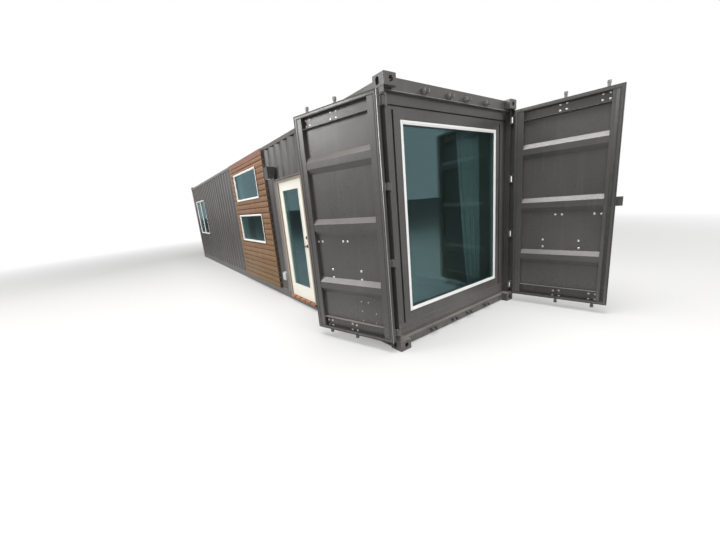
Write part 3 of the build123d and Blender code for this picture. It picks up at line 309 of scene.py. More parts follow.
def leaf_to_model(points, side):
    """A shut leaf's own millimetres, turned about its pin to where the leaf rests, then to the model.

    Left: x' = x cos a - y sin a, y' = x sin a + y cos a, with a = -opening. Right: the same with x
    mirrored and a = +opening."""
    p = np.asarray(points, float)
    left = side == "left"
    angle = math.radians(-LEFT_OPEN if left else RIGHT_OPEN)
    x = p[..., 0] if left else -p[..., 0]
    y = p[..., 1]
    turned_x = x * math.cos(angle) - y * math.sin(angle)
    turned_y = x * math.sin(angle) + y * math.cos(angle)
    pin = PIN_X if left else WIDTH - PIN_X
    return to_model(np.stack([turned_x + pin, turned_y + PIN_Y, p[..., 2]], -1))


# Surfaces
def skin(rings, round_path=False):
    """Quads between sections: point (i, j) is place j round section i.

    A path that doesn't close on itself gets one face over each end."""
    count, around = rings.shape[:2]
    i = np.arange(count if round_path else count - 1)[:, None]
    j = np.arange(around)[None, :]
    after = (i + 1) % count
    beside = (j + 1) % around
    corners = [i * around + j, i * around + beside, after * around + beside, after * around + j]
    faces = np.stack(np.broadcast_arrays(*corners), -1).reshape(-1, 4).tolist()
    if not round_path:
        faces.append(list(range(around))[::-1])
        faces.append(list(range((count - 1) * around, count * around)))
    return rings.reshape(-1, 3), faces


def joined(shapes):
    """One point array and one face list out of several shapes."""
    points = []
    faces = []
    start = 0
    for shape_points, shape_faces in shapes:
        points.append(shape_points)
        faces.extend([start + corner for corner in face] for face in shape_faces)
        start += len(shape_points)
    return np.concatenate(points), faces


def copies(shape, places, axes):
    """One shape at many places: place + x * first axis + y * second axis + z * third axis."""
    points, faces = shape
    placed = np.asarray(places, float)[:, None, :] + (points @ np.asarray(axes, float))[None]
    count = len(points)
    every = [[corner + k * count for corner in face] for k in range(len(placed)) for face in faces]
    return placed.reshape(-1, 3), every


def rounded(half_a, half_b, radius, steps=3):
    """Rounded rectangle: corner centre (+-(A - r), +-(B - r)) plus r (cos t, sin t), a quarter turn each."""
    quarter = np.linspace(0, np.pi / 2, steps)
    corners = []
    for turn, (sign_a, sign_b) in enumerate(((1, 1), (-1, 1), (-1, -1), (1, -1))):
        t = quarter + turn * np.pi / 2
        a = sign_a * (half_a - radius) + radius * np.cos(t)
        b = sign_b * (half_b - radius) + radius * np.sin(t)
        corners.append(np.stack([a, b], -1))
    return np.concatenate(corners)


def bar(low, high, axis, edge, ease=(True, True), steps=3):
    """Straight bar between two corners: a rounded rectangle carried along one axis.

    At an eased end the outline is drawn in by 0.7 edge radius over the last edge radius of length."""
    low = np.array(low, float)
    high = np.array(high, float)
    a, b = [k for k in range(3) if k != axis]
    middle = (low + high) / 2
    half = (high - low) / 2
    stations = [(low[axis], edge if ease[0] else 0.0)]
    if ease[0]:
        stations.append((low[axis] + edge, 0.0))
    if ease[1]:
        stations.append((high[axis] - edge, 0.0))
    stations.append((high[axis], edge if ease[1] else 0.0))
    rings = np.zeros((len(stations), 4 * steps, 3))
    for ring, (place, shrink) in zip(rings, stations):
        drawn = 0.7 * shrink
        outline = rounded(half[a] - drawn, half[b] - drawn, max(edge - drawn, 0.3 * edge), steps)
        ring[:, axis] = place
        ring[:, a] = middle[a] + outline[:, 0]
        ring[:, b] = middle[b] + outline[:, 1]
    return skin(rings)


def turned(profile, steps=16):
    """Surface of revolution about the third axis: (r cos t, r sin t, h) for each (r, h)."""
    profile = np.asarray(profile, float)
    t = np.linspace(0, 2 * np.pi, steps, endpoint=False)
    r = profile[:, :1]
    h = np.broadcast_to(profile[:, 1:], (len(profile), steps))
    return skin(np.stack([r * np.cos(t), r * np.sin(t), h], -1))


def mitred(rect, profile, plane):
    """A profile of (outward, depth) carried round a rectangle: corner + outward * (+-1, +-1).

    The plane is "side" for a wall along the length and "end" for one across it."""
    a0, a1, b0, b1 = rect
    corners = np.array([(a0, b0, -1, -1), (a1, b0, 1, -1), (a1, b1, 1, 1), (a0, b1, -1, 1)], float)
    profile = np.asarray(profile, float)
    a = corners[:, :1] + corners[:, 2:3] * profile[None, :, 0]
    b = corners[:, 1:2] + corners[:, 3:4] * profile[None, :, 0]
    depth = np.broadcast_to(profile[None, :, 1], a.shape)
    order = [depth, a, b] if plane == "side" else [a, depth, b]
    return skin(np.stack(order, -1), round_path=True)


def section(out0, out1, depth0, depth1, edge=1.0):
    """Rounded rectangular profile between two outward and two depth values."""
    ring = rounded(abs(out1 - out0) / 2, abs(depth1 - depth0) / 2, edge, 3)
    return ring + np.array([(out0 + out1) / 2, (depth0 + depth1) / 2])


def inset(rect, edge):
    """A rectangle drawn in by an edge on all four sides."""
    return (rect[0] + edge, rect[1] - edge, rect[2] + edge, rect[3] - edge)


# Pieces
def put(name, shape, finish, body="cabin", stands_for=(), values=None):
    """Make a mesh from a drawn shape, with faces outward, and let it ride on its body."""
    points, faces = shape
    side, is_leaf, _ = body.partition("_leaf")
    points = leaf_to_model(points, side) if is_leaf else to_model(points)
    mesh = bpy.data.meshes.new(name)
    mesh.from_pydata(points.tolist(), [], faces)
    for key, numbers in (values or {}).items():
        mesh.attributes.new(key, "FLOAT", "POINT").data.foreach_set("value", np.asarray(numbers, np.float32))
    work = bmesh.new()
    work.from_mesh(mesh)
    bmesh.ops.recalc_face_normals(work, faces=work.faces)
    work.to_mesh(mesh)
    work.free()
    mesh.shade_smooth()
    mesh.set_sharp_from_angle(angle=SMOOTH_ANGLE)
    piece = bpy.data.objects.new(name, mesh)
    bpy.context.scene.collection.objects.link(piece)
    mesh.materials.append(FINISHES[finish])
    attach(piece, body)
    if stands_for:
        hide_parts(*stands_for)
    return piece


def grain_values(shapes, tones, reds):
    """Each board's own tone and redness, given to every one of its points."""
    counts = [len(points) for points, faces in shapes]
    return {"tone": np.repeat(tones, counts), "redness": np.repeat(reds, counts)}


# Shader building
def shader(name, colour, roughness, **sockets):
    """A new material with its Principled shader's own sockets set."""
    material = bpy.data.materials.new(name)
    material.use_nodes = True
    tree = material.node_tree
    surface = tree.nodes["Principled BSDF"]
    surface.inputs["Base Color"].default_value = (*colour, 1.0)
    surface.inputs["Roughness"].default_value = roughness
    for socket, value in sockets.items():
        surface.inputs[socket.replace("_", " ")].default_value = value
    return material, tree, surface


def feed(tree, surface, **outputs):
    """Link node outputs to the sockets of a shader."""
    for socket, output in outputs.items():
        tree.links.new(output, surface.inputs[socket.replace("_", " ")])


def node(tree, kind, feeds=None, **settings):
    """Add one node; what is fed in is either a number, a colour or another node's output."""
    made = tree.nodes.new("ShaderNode" + kind)
    for key, value in settings.items():
        setattr(made, key, value)
    for key, value in (feeds or {}).items():
        if isinstance(value, bpy.types.NodeSocket):
            tree.links.new(value, made.inputs[key])
        else:
            made.inputs[key].default_value = value
    return made


def place_in(tree, scale=(1.0, 1.0, 1.0), vector=None):
    """Object coordinates, or another vector, stretched for one pattern."""
    if vector is None:
        vector = node(tree, "TexCoord").outputs["Object"]
    return node(tree, "Mapping", {"Vector": vector, "Scale": scale}).outputs["Vector"]


def noise(tree, vector, scale, detail=4.0, roughness=0.55, distortion=0.0):
    """Cloudy noise between 0 and 1."""
    feeds = {"Vector": vector, "Scale": scale, "Detail": detail, "Roughness": roughness,
             "Distortion": distortion}
    return node(tree, "TexNoise", feeds).outputs["Fac"]


def spread(tree, value, low, high, to_low=0.0, to_high=1.0):
    """Value mapped from one span to another, held at its ends."""
    feeds = {"Value": value, "From Min": low, "From Max": high, "To Min": to_low, "To Max": to_high}
    return node(tree, "MapRange", feeds).outputs["Result"]


def math_node(tree, operation, a, b=0.0):
    """One operation on two values."""
    return node(tree, "Math", {0: a, 1: b}, operation=operation).outputs["Value"]


def tint(tree, factor, first, second, mode="MIX"):
    """Two colours mixed by a factor."""
    def whole(colour):
        return colour if isinstance(colour, bpy.types.NodeSocket) else (*colour[:3], 1.0)

    feeds = {0: factor, 6: whole(first), 7: whole(second)}
    return node(tree, "Mix", feeds, data_type="RGBA", blend_type=mode).outputs[2]


def bump(tree, height, distance, strength=1.0, under=None):
    """Normal raised by a height field, over another normal where there is one."""
    feeds = {"Height": height, "Distance": distance, "Strength": strength}
    if under is not None:
        feeds["Normal"] = under
    return node(tree, "Bump", feeds).outputs["Normal"]


def shade(colour, factor):
    """A colour made darker or lighter."""
    return tuple(min(1.0, channel * factor) for channel in colour)


def up_facing(tree, low=0.2, high=0.9):
    """1 where a surface looks up, 0 where it stands or looks down."""
    normal = node(tree, "TexCoord").outputs["Normal"]
    height = node(tree, "SeparateXYZ", {"Vector": normal}).outputs["Z"]
    return spread(tree, height, low, high)


def eased(tree, radius):
    """Normal that rounds off hard edges by a radius in metres."""
    return node(tree, "Bevel", {"Radius": radius}, samples=4).outputs["Normal"]


def paint(name, colour, roughness, dust_share=0.5, edge=0.003, dents=0.003):
    """Sprayed steel paint: cloudy tone, rain streaks, dust on ledges and low down, orange peel, dents."""
    material, tree, surface = shader(name, colour, roughness)
    plain = place_in(tree)
    cloud = noise(tree, plain, 1.6, 6.0)
    fine = noise(tree, plain, 38.0, 5.0, 0.65)
    streak = noise(tree, place_in(tree, (9.0, 9.0, 0.45)), 1.6, 5.0, 0.6)
    body = tint(tree, spread(tree, cloud, 0.32, 0.7), shade(colour, 0.84), shade(colour, 1.18))
    body = tint(tree, spread(tree, fine, 0.35, 0.75, 0.0, 0.25), body, shade(colour, 1.5))
    body = tint(tree, spread(tree, streak, 0.54, 0.78, 0.0, 0.07), body, DUST)
    height = node(tree, "SeparateXYZ", {"Vector": plain}).outputs["Z"]
    low_down = spread(tree, height, 0.55, 0.0, 0.0, 0.5)
    low_down = math_node(tree, "MULTIPLY", low_down, spread(tree, fine, 0.3, 0.62))
    ledges = math_node(tree, "MULTIPLY", up_facing(tree), spread(tree, cloud, 0.25, 0.65, 0.45, 1.0))
    settled = math_node(tree, "MULTIPLY", math_node(tree, "MAXIMUM", low_down, ledges), dust_share)
    body = tint(tree, settled, body, DUST)
    chips = spread(tree, noise(tree, plain, 62.0, 3.0, 0.7), 0.735, 0.75)
    body = tint(tree, chips, body, RUST)
    rough = math_node(tree, "ADD", spread(tree, fine, 0.3, 0.7, roughness - 0.07, roughness + 0.09),
                      math_node(tree, "MULTIPLY", settled, 0.4))
    normal = eased(tree, edge)
    normal = bump(tree, noise(tree, plain, 1.9, 2.0), dents, 0.9, normal)
    normal = bump(tree, noise(tree, plain, 240.0, 2.0), 0.0003, 0.5, normal)
    feed(tree, surface, Base_Color=body, Roughness=rough, Normal=normal)
    return material


def timber(name, pale, red, dark, roughness, along=(1.3, 30.0, 30.0), wear=0.10):
    """Sawn boards: each has its own tone and its own piece of grain, with rings, fibres and knots."""
    material, tree, surface = shader(name, pale, roughness)
    tone = node(tree, "Attribute", attribute_name="tone").outputs["Fac"]
    redness = node(tree, "Attribute", attribute_name="redness").outputs["Fac"]
    coordinates = node(tree, "TexCoord").outputs["Object"]
    step = node(tree, "VectorMath", {0: (17.3, 5.7, 9.1), 3: tone}, operation="SCALE").outputs["Vector"]
    moved = node(tree, "VectorMath", {0: coordinates, 1: step}, operation="ADD").outputs["Vector"]
    wave = {"Vector": place_in(tree, along, moved), "Scale": 0.9, "Distortion": 7.0, "Detail": 4.0,
            "Detail Scale": 0.9, "Detail Roughness": 0.6}
    rings = node(tree, "TexWave", wave, bands_direction="Z").outputs["Fac"]
    fibre_scale = tuple(value * 7.0 if value > 5 else value * 2.5 for value in along)
    fibres = noise(tree, place_in(tree, fibre_scale, moved), 1.0, 4.0)
    knot_scale = tuple(value * 0.36 if value > 5 else value * 1.9 for value in along)
    knot = node(tree, "TexVoronoi", {"Vector": place_in(tree, knot_scale, moved), "Scale": 1.0})
    knots = spread(tree, knot.outputs["Distance"], 0.13, 0.03)
    body = tint(tree, redness, pale, red)
    body = tint(tree, spread(tree, tone, 0.0, 1.0, 0.0, 0.45), body, dark)
    body = tint(tree, spread(tree, rings, 0.25, 0.9, 0.0, 0.42), body, dark)
    body = tint(tree, spread(tree, fibres, 0.35, 0.75, 0.0, 0.35), body, shade(dark, 0.7))
    body = tint(tree, math_node(tree, "MULTIPLY", knots, 0.85), body, shade(dark, 0.35))
    weather = noise(tree, place_in(tree, (0.8, 0.8, 2.5)), 2.4, 5.0)
    body = tint(tree, spread(tree, weather, 0.45, 0.8, 0.0, wear), body, WEATHER)
    rough = spread(tree, fibres, 0.3, 0.8, roughness - 0.1, roughness + 0.12)
    normal = bump(tree, fibres, 0.0006, 0.8, bump(tree, rings, 0.0007, 0.6))
    feed(tree, surface, Base_Color=body, Roughness=rough, Normal=normal)
    return material


def satin(name, colour, roughness, scale=60.0, grime=0.12, edge=0.0015, peel=0.0002, **sockets):
    """Smooth moulded or painted trim: faint mottling, grime that gathers in clouds, a fine grain."""
    material, tree, surface = shader(name, colour, roughness, **sockets)
    plain = place_in(tree)
    mottle = noise(tree, plain, scale, 4.0)
    cloud = noise(tree, plain, 3.1, 6.0, 0.62)
    body = tint(tree, spread(tree, mottle, 0.3, 0.7, 0.0, 0.35), colour, shade(colour, 0.93))
    body = tint(tree, spread(tree, cloud, 0.5, 0.78, 0.0, grime), body, GRIME)
    rough = spread(tree, mottle, 0.3, 0.7, roughness - 0.05, roughness + 0.08)
    normal = bump(tree, noise(tree, plain, scale * 5.0, 2.0), peel, 0.6, eased(tree, edge))
    feed(tree, surface, Base_Color=body, Roughness=rough, Normal=normal)
    return material


def bare_metal(name, colour, roughness, stain=(0.20, 0.13, 0.08), stain_share=0.25):
    """Zinc or aluminium: spangle, fine grain, light stains."""
    material, tree, surface = shader(name, colour, roughness, Metallic=0.92)
    spangle = node(tree, "TexVoronoi", {"Vector": place_in(tree), "Scale": 150.0}).outputs["Distance"]
    cloud = noise(tree, place_in(tree), 14.0, 6.0, 0.65)
    grain = noise(tree, place_in(tree), 320.0, 3.0)
    body = tint(tree, spread(tree, spangle, 0.1, 0.8, 0.0, 0.4), colour, shade(colour, 0.78))
    body = tint(tree, spread(tree, cloud, 0.52, 0.75, 0.0, stain_share), body, stain)
    rough = spread(tree, cloud, 0.35, 0.7, roughness - 0.08, roughness + 0.18)
    feed(tree, surface, Base_Color=body, Roughness=rough, Normal=bump(tree, grain, 0.0002, 0.6))
    return material


def sealing_rubber(name, colour=(0.022, 0.022, 0.023), roughness=0.62):
    """Black seal: chalky bloom and a fine moulded grain."""
    material, tree, surface = shader(name, colour, roughness)
    plain = place_in(tree)
    bloom = noise(tree, plain, 22.0, 5.0, 0.6)
    body = tint(tree, spread(tree, bloom, 0.45, 0.8, 0.0, 0.35), colour, BLOOM)
    rough = spread(tree, bloom, 0.3, 0.7, roughness - 0.1, roughness + 0.12)
    normal = bump(tree, noise(tree, plain, 420.0, 2.0), 0.0002, 0.6)
    feed(tree, surface, Base_Color=body, Roughness=rough, Normal=normal)
    return material


def clear_glass(name, body, mirror, share):
    """Double glazing: a see-through layer under a mirror-smooth one, more mirror at a slant."""
    material = bpy.data.materials.new(name)
    material.use_nodes = True
    tree = material.node_tree
    tree.nodes.remove(tree.nodes["Principled BSDF"])
    output = tree.nodes["Material Output"]
    normal = bump(tree, noise(tree, place_in(tree), 1.1, 2.0), 0.0012, 0.35)
    through = node(tree, "BsdfTransparent", {"Color": (*body, 1.0)}).outputs["BSDF"]
    shine = node(tree, "BsdfGlossy", {"Color": (*mirror, 1.0), "Roughness": 0.012, "Normal": normal})
    slant = node(tree, "Fresnel", {"IOR": 1.5, "Normal": normal}).outputs["Fac"]
    factor = spread(tree, slant, 0.03, 0.6, share, 0.42)
    both = node(tree, "MixShader", {0: factor, 1: through, 2: shine.outputs["BSDF"]}).outputs["Shader"]
    feed(tree, output, Surface=both)
    return material


def woven(name, colour, roughness, thread=0.0009):
    """Curtain cloth on its own UV in metres: two crossing sets of threads, slubs and a soft sheen."""
    material, tree, surface = shader(name, colour, roughness, Sheen_Weight=0.25, Sheen_Roughness=0.5)
    flat = node(tree, "UVMap").outputs["UV"]
    threads = {"Vector": flat, "Scale": 2 * math.pi / thread / 20, "Distortion": 0.6}
    warp = node(tree, "TexWave", threads, bands_direction="X").outputs["Fac"]
    weft = node(tree, "TexWave", threads, bands_direction="Y").outputs["Fac"]
    weave = math_node(tree, "MULTIPLY", warp, weft)
    slub = noise(tree, place_in(tree, (240.0, 14.0, 1.0), flat), 1.0, 4.0)
    body = tint(tree, spread(tree, slub, 0.35, 0.75), shade(colour, 0.78), shade(colour, 1.25))
    body = tint(tree, spread(tree, weave, 0.0, 1.0, 0.0, 0.3), body, shade(colour, 0.6))
    rough = spread(tree, slub, 0.3, 0.7, roughness - 0.05, roughness + 0.05)
    feed(tree, surface, Base_Color=body, Roughness=rough, Normal=bump(tree, weave, 0.0003, 0.7))
    return material


def lining_board(name, colour, plank=None):
    """Painted board inside the room, or laid planks with dark joints where a plank's size is given."""
    material, tree, surface = shader(name, colour, 0.62)
    plain = place_in(tree)
    mottle = noise(tree, plain, 5.0, 6.0)
    body = tint(tree, spread(tree, mottle, 0.3, 0.7), shade(colour, 0.92), colour)
    normal = bump(tree, noise(tree, plain, 180.0, 3.0), 0.0004, 0.5)
    if plank:
        laid = {"Vector": plain, "Color1": (*colour, 1), "Color2": (*shade(colour, 0.7), 1),
                "Mortar": (*shade(colour, 0.15), 1), "Scale": 1.0, "Mortar Size": 0.0016,
                "Brick Width": plank[0], "Row Height": plank[1]}
        brick = node(tree, "TexBrick", laid, offset=0.37)
        grain = noise(tree, place_in(tree, (2.0, 60.0, 60.0)), 1.5, 5.0)
        grained = spread(tree, grain, 0.35, 0.75, 0.0, 0.5)
        body = tint(tree, grained, brick.outputs["Color"], shade(colour, 0.55))
        normal = bump(tree, math_node(tree, "SUBTRACT", grain, brick.outputs["Fac"]), 0.0008, 0.5)
    feed(tree, surface, Base_Color=body, Normal=normal)
    return material


# Settings a user would change
class CabinSteel(bpy.types.PropertyGroup):
    """Paint of the container and size of its bolts"""
    colour: FloatVectorProperty(
        name="Paint", description="Colour of the container's paint", subtype="COLOR",
        default=(0.058, 0.055, 0.052), min=0, max=1)
    roughness: FloatProperty(
        name="Roughness", description="How dull the paint is", default=0.33, min=0, max=1)
    dust: FloatProperty(
        name="Dust", description="How much dust lies on ledges", default=0.5, min=0, max=1, subtype="FACTOR")
    bolt_radius: FloatProperty(
        name="Bolt head radius", description="Radius of a coach bolt's head, in millimetres",
        default=14.5, min=4, max=20)
    bolt_height: FloatProperty(
        name="Bolt head height", description="How far a bolt's head stands out, in millimetres",
        default=5.5, min=1, max=10)


class CabinTimber(bpy.types.PropertyGroup):
    """Colours and spacing of the cladding boards"""
    pale: FloatVectorProperty(
        name="Honey board", description="Colour of the yellower boards", subtype="COLOR",
        default=(0.19, 0.108, 0.033), min=0, max=1)
    red: FloatVectorProperty(
        name="Red board", description="Colour of the redder boards", subtype="COLOR",
        default=(0.27, 0.112, 0.046), min=0, max=1)
    dark: FloatVectorProperty(
        name="Grain", description="Colour of the dark grain", subtype="COLOR",
        default=(0.105, 0.047, 0.019), min=0, max=1)
    pitch: FloatProperty(
        name="Board pitch", description="Height from one board row to the next, in millimetres",
        default=107.8, min=40, max=300)
    gap: FloatProperty(
        name="Gap", description="Open joint between two rows, in millimetres", default=11.0, min=1, max=25)


class CabinGlazing(bpy.types.PropertyGroup):
    """Windows and entrance door"""
    vinyl: FloatVectorProperty(
        name="Window frames", description="Colour of the window frames", subtype="COLOR",
        default=(0.80, 0.80, 0.78), min=0, max=1)
    glass: FloatVectorProperty(
        name="Glass", description="Tint of what shows through the glass", subtype="COLOR",
        default=(0.66, 0.74, 0.72), min=0, max=1)
    mirror: FloatProperty(
        name="Mirror", description="Share of the glass's light that is reflection, seen square on",
        default=0.05, min=0, max=1, subtype="FACTOR")
    door: FloatVectorProperty(
        name="Door", description="Colour of the entrance door", subtype="COLOR",
        default=(0.78, 0.76, 0.68), min=0, max=1)


class CabinCurtain(bpy.types.PropertyGroup):
    """Cloth and folds of the curtain"""
    colour: FloatVectorProperty(
        name="Cloth", description="Colour of the curtain", subtype="COLOR",
        default=(0.54, 0.60, 0.64), min=0, max=1)
    folds: IntProperty(
        name="Folds", description="Number of folds across the gathered curtain", default=7, min=3, max=20)
    depth: FloatProperty(
        name="Fold depth", description="Depth of a fold at the hem, in millimetres",
        default=64.0, min=10, max=66)
    gather: FloatProperty(
        name="Gather", description="How far the free edge runs in from top to hem, in millimetres",
        default=230.0, min=0, max=400)


class CabinStage(bpy.types.PropertyGroup):
    """Studio floor and lights"""
    floor: FloatVectorProperty(
        name="Floor", description="Colour of the studio floor", subtype="COLOR",
        default=(0.46, 0.455, 0.45), min=0, max=1)
    sky: FloatProperty(
        name="Sky light", description="Strength of the even light from all round", default=0.17, min=0, max=3)
    key: FloatProperty(
        name="Key lamp", description="Power of the soft lamp on the entrance side, in watts",
        default=1200.0, min=0, max=20000, unit="POWER")
    overhead: FloatProperty(
        name="Overhead lamp", description="Power of the large lamp overhead, in watts",
        default=3000.0, min=0, max=20000, unit="POWER")
    fill: FloatProperty(
        name="Fill lamp", description="Power of the weak lamp on the cargo end, in watts",
        default=650.0, min=0, max=20000, unit="POWER")


def settings(context, key):
    """One group of settings, as the panel shows it."""
    return getattr(context.scene, "cabin_" + key)


class CABIN_OT_finishes(bpy.types.Operator):
    """Make every finish and put it on the solids that stay in view"""
    bl_idname = "cabin.finishes"
    bl_label = "Finishes"

    def execute(self, context):
        steel = settings(context, "steel")
        wood = settings(context, "timber")
        glazing = settings(context, "glazing")
        bronze = tuple(steel.colour)
        FINISHES.update(
            paint=paint("Dark bronze paint", bronze, steel.roughness, dust_share=steel.dust),
            vinyl=satin("White vinyl", tuple(glazing.vinyl), 0.34, grime=0.10),
            door=satin("Cream door paint", tuple(glazing.door), 0.38, scale=90.0, grime=0.08),
            casing=paint("Grey casing paint", (0.125, 0.118, 0.108), 0.45, dents=0.0006),
            fitting=satin("Black powder coat", (0.030, 0.030, 0.032), 0.42, scale=160.0, grime=0.2),
            hinge=paint("Worn hinge paint", shade(bronze, 1.25), 0.42, dents=0.0003),
            rod=bare_metal("Dull galvanised rods", (0.20, 0.20, 0.195), 0.55, stain=(0.10, 0.075, 0.055)),
            # Painted shade: the battens are near black so that the cladding's front edge and its open joints
            # read as lying in shade
            batten=timber("Dark stained battens", (0.045, 0.036, 0.030), (0.04, 0.03, 0.025),
                          (0.02, 0.015, 0.012), 0.6),
            silver=bare_metal("Cast aluminium", (0.62, 0.63, 0.64), 0.38, stain_share=0.12),
            bolt=bare_metal("Zinc bolt heads", (0.60, 0.58, 0.55), 0.40, stain=(0.24, 0.16, 0.10)),
            rubber=sealing_rubber("Black seal"),
            glass=clear_glass("Double glazing", tuple(glazing.glass), (0.42, 0.60, 0.66), glazing.mirror),
            boards=timber("Cedar boards", tuple(wood.pale), tuple(wood.red), tuple(wood.dark), 0.58),
            # Partly weathered wood and partly painted light: the jamb's pale tan was taken from its lit front
            # edge
            jamb=timber("Weathered jamb timber", (0.35, 0.27, 0.205), (0.31, 0.235, 0.175),
                        (0.15, 0.11, 0.08), 0.5),
            stained=timber("Red stained timber", (0.22, 0.098, 0.060), (0.19, 0.080, 0.048),
                           (0.08, 0.030, 0.018), 0.5),
            sill=timber("Orange sill timber", (0.42, 0.17, 0.055), (0.36, 0.13, 0.045),
                        (0.14, 0.05, 0.02), 0.5),
            lining=lining_board("Painted lining", (0.62, 0.60, 0.56)),
            planks=lining_board("Plank floor", (0.34, 0.25, 0.17), plank=(1.2, 0.18)),
        )
        for finish, names in NODE_FINISHES.items():
            for name in names:
                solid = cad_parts[name]
                solid.data.materials.clear()
                solid.data.materials.append(FINISHES[finish])
        return {"FINISHED"}


def board_pieces(bottom, top, gap, holes):
    """The solid parts of one row of boards beside, over and under the holes.

    Each is (y0, y1, z0, z1, eased at the front, eased at the rear)."""
    z0 = bottom + gap / 2
    z1 = top - gap / 2
    for y0, y1, low, high in holes:
        if z1 <= low or z0 >= high:
            continue
        parts = [(CLAD_FRONT, y0, z0, z1, True, False), (y1, CLAD_REAR, z0, z1, False, True)]
        if z0 < low:
            parts.append((y0, y1, z0, low, False, False))
        if z1 > high:
            parts.append((y0, y1, high, z1, False, False))
        return parts
    return [(CLAD_FRONT, CLAD_REAR, z0, z1, True, True)]


class CABIN_OT_boards(bpy.types.Operator):
    """Lay the separate cladding boards round the two windows, with their spacers and screws"""
    bl_idname = "cabin.boards"
    bl_label = "Cladding boards"

    def execute(self, context):
        wood = settings(context, "timber")
        draw = np.random.default_rng(7)
        count = int((CLAD_TOP - CLAD_BOTTOM) / wood.pitch) + 2
        joints = CLAD_JOINT + wood.pitch * np.arange(-count, count + 1)
        inner = joints[(joints > CLAD_BOTTOM + LEAST_ROW) & (joints < CLAD_TOP - LEAST_ROW)]
        levels = np.concatenate([[CLAD_BOTTOM], inner, [CLAD_TOP]])
        rows = len(levels) - 1
        holes = [inset(window, FLANGE_OVERLAP) for window in (UPPER_WINDOW, LOWER_WINDOW)]
        back = CLAD_BACK - CLEAR
        shapes = []
        tones = []
        reds = []
        screws = []
        for row, (bottom, top) in enumerate(zip(levels, levels[1:])):
            tone = draw.random()
            red = np.clip(RED_LOW + RED_RISE * row / rows + draw.normal(0, RED_SCATTER), 0, 1)
            face = CLAD_FACE + draw.uniform(0.0, BOARD_PROUD)
            for y0, y1, z0, z1, front, rear in board_pieces(bottom, top, wood.gap, holes):
                start = y0 + draw.uniform(0, BOARD_PLAY) if front else y0
                shapes.append(bar((face, start, z0), (back, y1, z1), 1, BOARD_EDGE, (front, rear)))
                tones.append(tone)
                reds.append(red)
                for place in BATTEN_PLACES:
                    if y0 + BATTEN_ROOM < place < y1 - BATTEN_ROOM and z1 - z0 > SCREWED_HEIGHT:
                        screws.extend([(face, place, z0 + SCREW_IN), (face, place, z1 - SCREW_IN)])
        put("cladding_planks", joined(shapes), "boards", "cabin", ("cladding_boards",),
            grain_values(shapes, tones, reds))
        spacers = [bar((CLAD_BACK + 1, CLAD_FRONT - SPACER_PROUD, joint - SPACER_HALF),
                       (WALL_SET_IN - 1, CLAD_FRONT + 1, joint + SPACER_HALF), 2, HAIR) for joint in inner]
        put("cladding_spacers", joined(spacers), "casing")
        put("cladding_screws", copies(turned(BOARD_SCREW, 10), screws, ON_WALL), "bolt")
        return {"FINISHED"}


def cloth_grid(folds, depth, gather):
    """Gathered cloth as rows of points, s across it and drop down it, both from 0 to 1.

    Along the wall a point lies evenly between the free edge and the fixed one, plus a lean times the
    sine of two turns; the free edge runs in by the gather times drop to the power 1.3. Across, it lies
    half the fold depth times the sine of the turns from the middle. The turns are one for each fold,
    plus slow waves in s; the depth swells from 0.62 at the top to 1 at the hem with the root of drop."""
    s = np.linspace(0, 1, CLOTH_ACROSS)[None, :]
    drop = np.linspace(0, 1, CLOTH_DOWN)[:, None]
    phase = np.random.default_rng(11).uniform(0, 2 * np.pi, 4)

    def wave(cycles, k):
        """Sine of 2 pi cycles s plus the curtain's phase k."""
        return np.sin(2 * np.pi * cycles * s + phase[k])

    wander = 0.22 * wave(1.3, 0) + 0.16 * wave(2.9, 1)
    turns = 2 * np.pi * folds * s + wander * 2.2 + 0.35 * drop * wave(1.7, 2)
    swell = 0.62 + 0.38 * np.sqrt(drop)
    half = depth / 2 * swell * (0.86 + 0.14 * wave(3.1, 3))
    bottom, top = CURTAIN_Z
    near = CURTAIN_X[0] + CURTAIN_FREE + gather * drop ** 1.3
    x = near + CURTAIN_MARGIN + (CURTAIN_X[1] - near - 2 * CURTAIN_MARGIN) * s
    x = x + FOLD_LEAN * swell * np.sin(2 * turns)
    y = sum(CURTAIN_Y) / 2 + half * np.sin(turns)
    z = top - CLOTH_TOP_IN - (top - bottom - CLOTH_SHORT) * drop + 0.0 * s
    return np.stack([x, y, z], -1)


class CABIN_OT_curtain(bpy.types.Operator):
    """Hang the gathered curtain behind the right part of the big window"""
    bl_idname = "cabin.curtain"
    bl_label = "Curtain"

    def execute(self, context):
        cloth = settings(context, "curtain")
        FINISHES["cloth"] = woven("Grey woven cloth", tuple(cloth.colour), 0.8)
        grid = cloth_grid(cloth.folds, cloth.depth, cloth.gather)
        index = np.arange(CLOTH_ACROSS * CLOTH_DOWN).reshape(CLOTH_DOWN, CLOTH_ACROSS)
        corners = [index[:-1, :-1], index[1:, :-1], index[1:, 1:], index[:-1, 1:]]
        faces = np.stack(corners, -1).reshape(-1, 4).tolist()
        piece = put("curtain_cloth", (grid.reshape(-1, 3), faces), "cloth", "cabin", ("curtain",))
        middle = to_model(grid[CLOTH_DOWN // 2])
        steps = np.linalg.norm(np.diff(middle, axis=0), axis=1)
        run = np.concatenate([[0], np.cumsum(steps)])
        fall = (grid[:, :1, 2] - grid[-1, 0, 2]) / 1000
        u = np.broadcast_to(run[None, :], index.shape).ravel()
        v = np.broadcast_to(fall, index.shape).ravel()
        layer = piece.data.uv_layers.new(name="UVMap")
        loops = np.zeros(len(piece.data.loops), np.int32)
        piece.data.loops.foreach_get("vertex_index", loops)
        layer.data.foreach_set("uv", np.stack([u[loops], v[loops]], -1).ravel())
        solid = piece.modifiers.new("Cloth thickness", "SOLIDIFY")
        solid.thickness = CLOTH_THICK
        solid.offset = 0.0
        return {"FINISHED"}


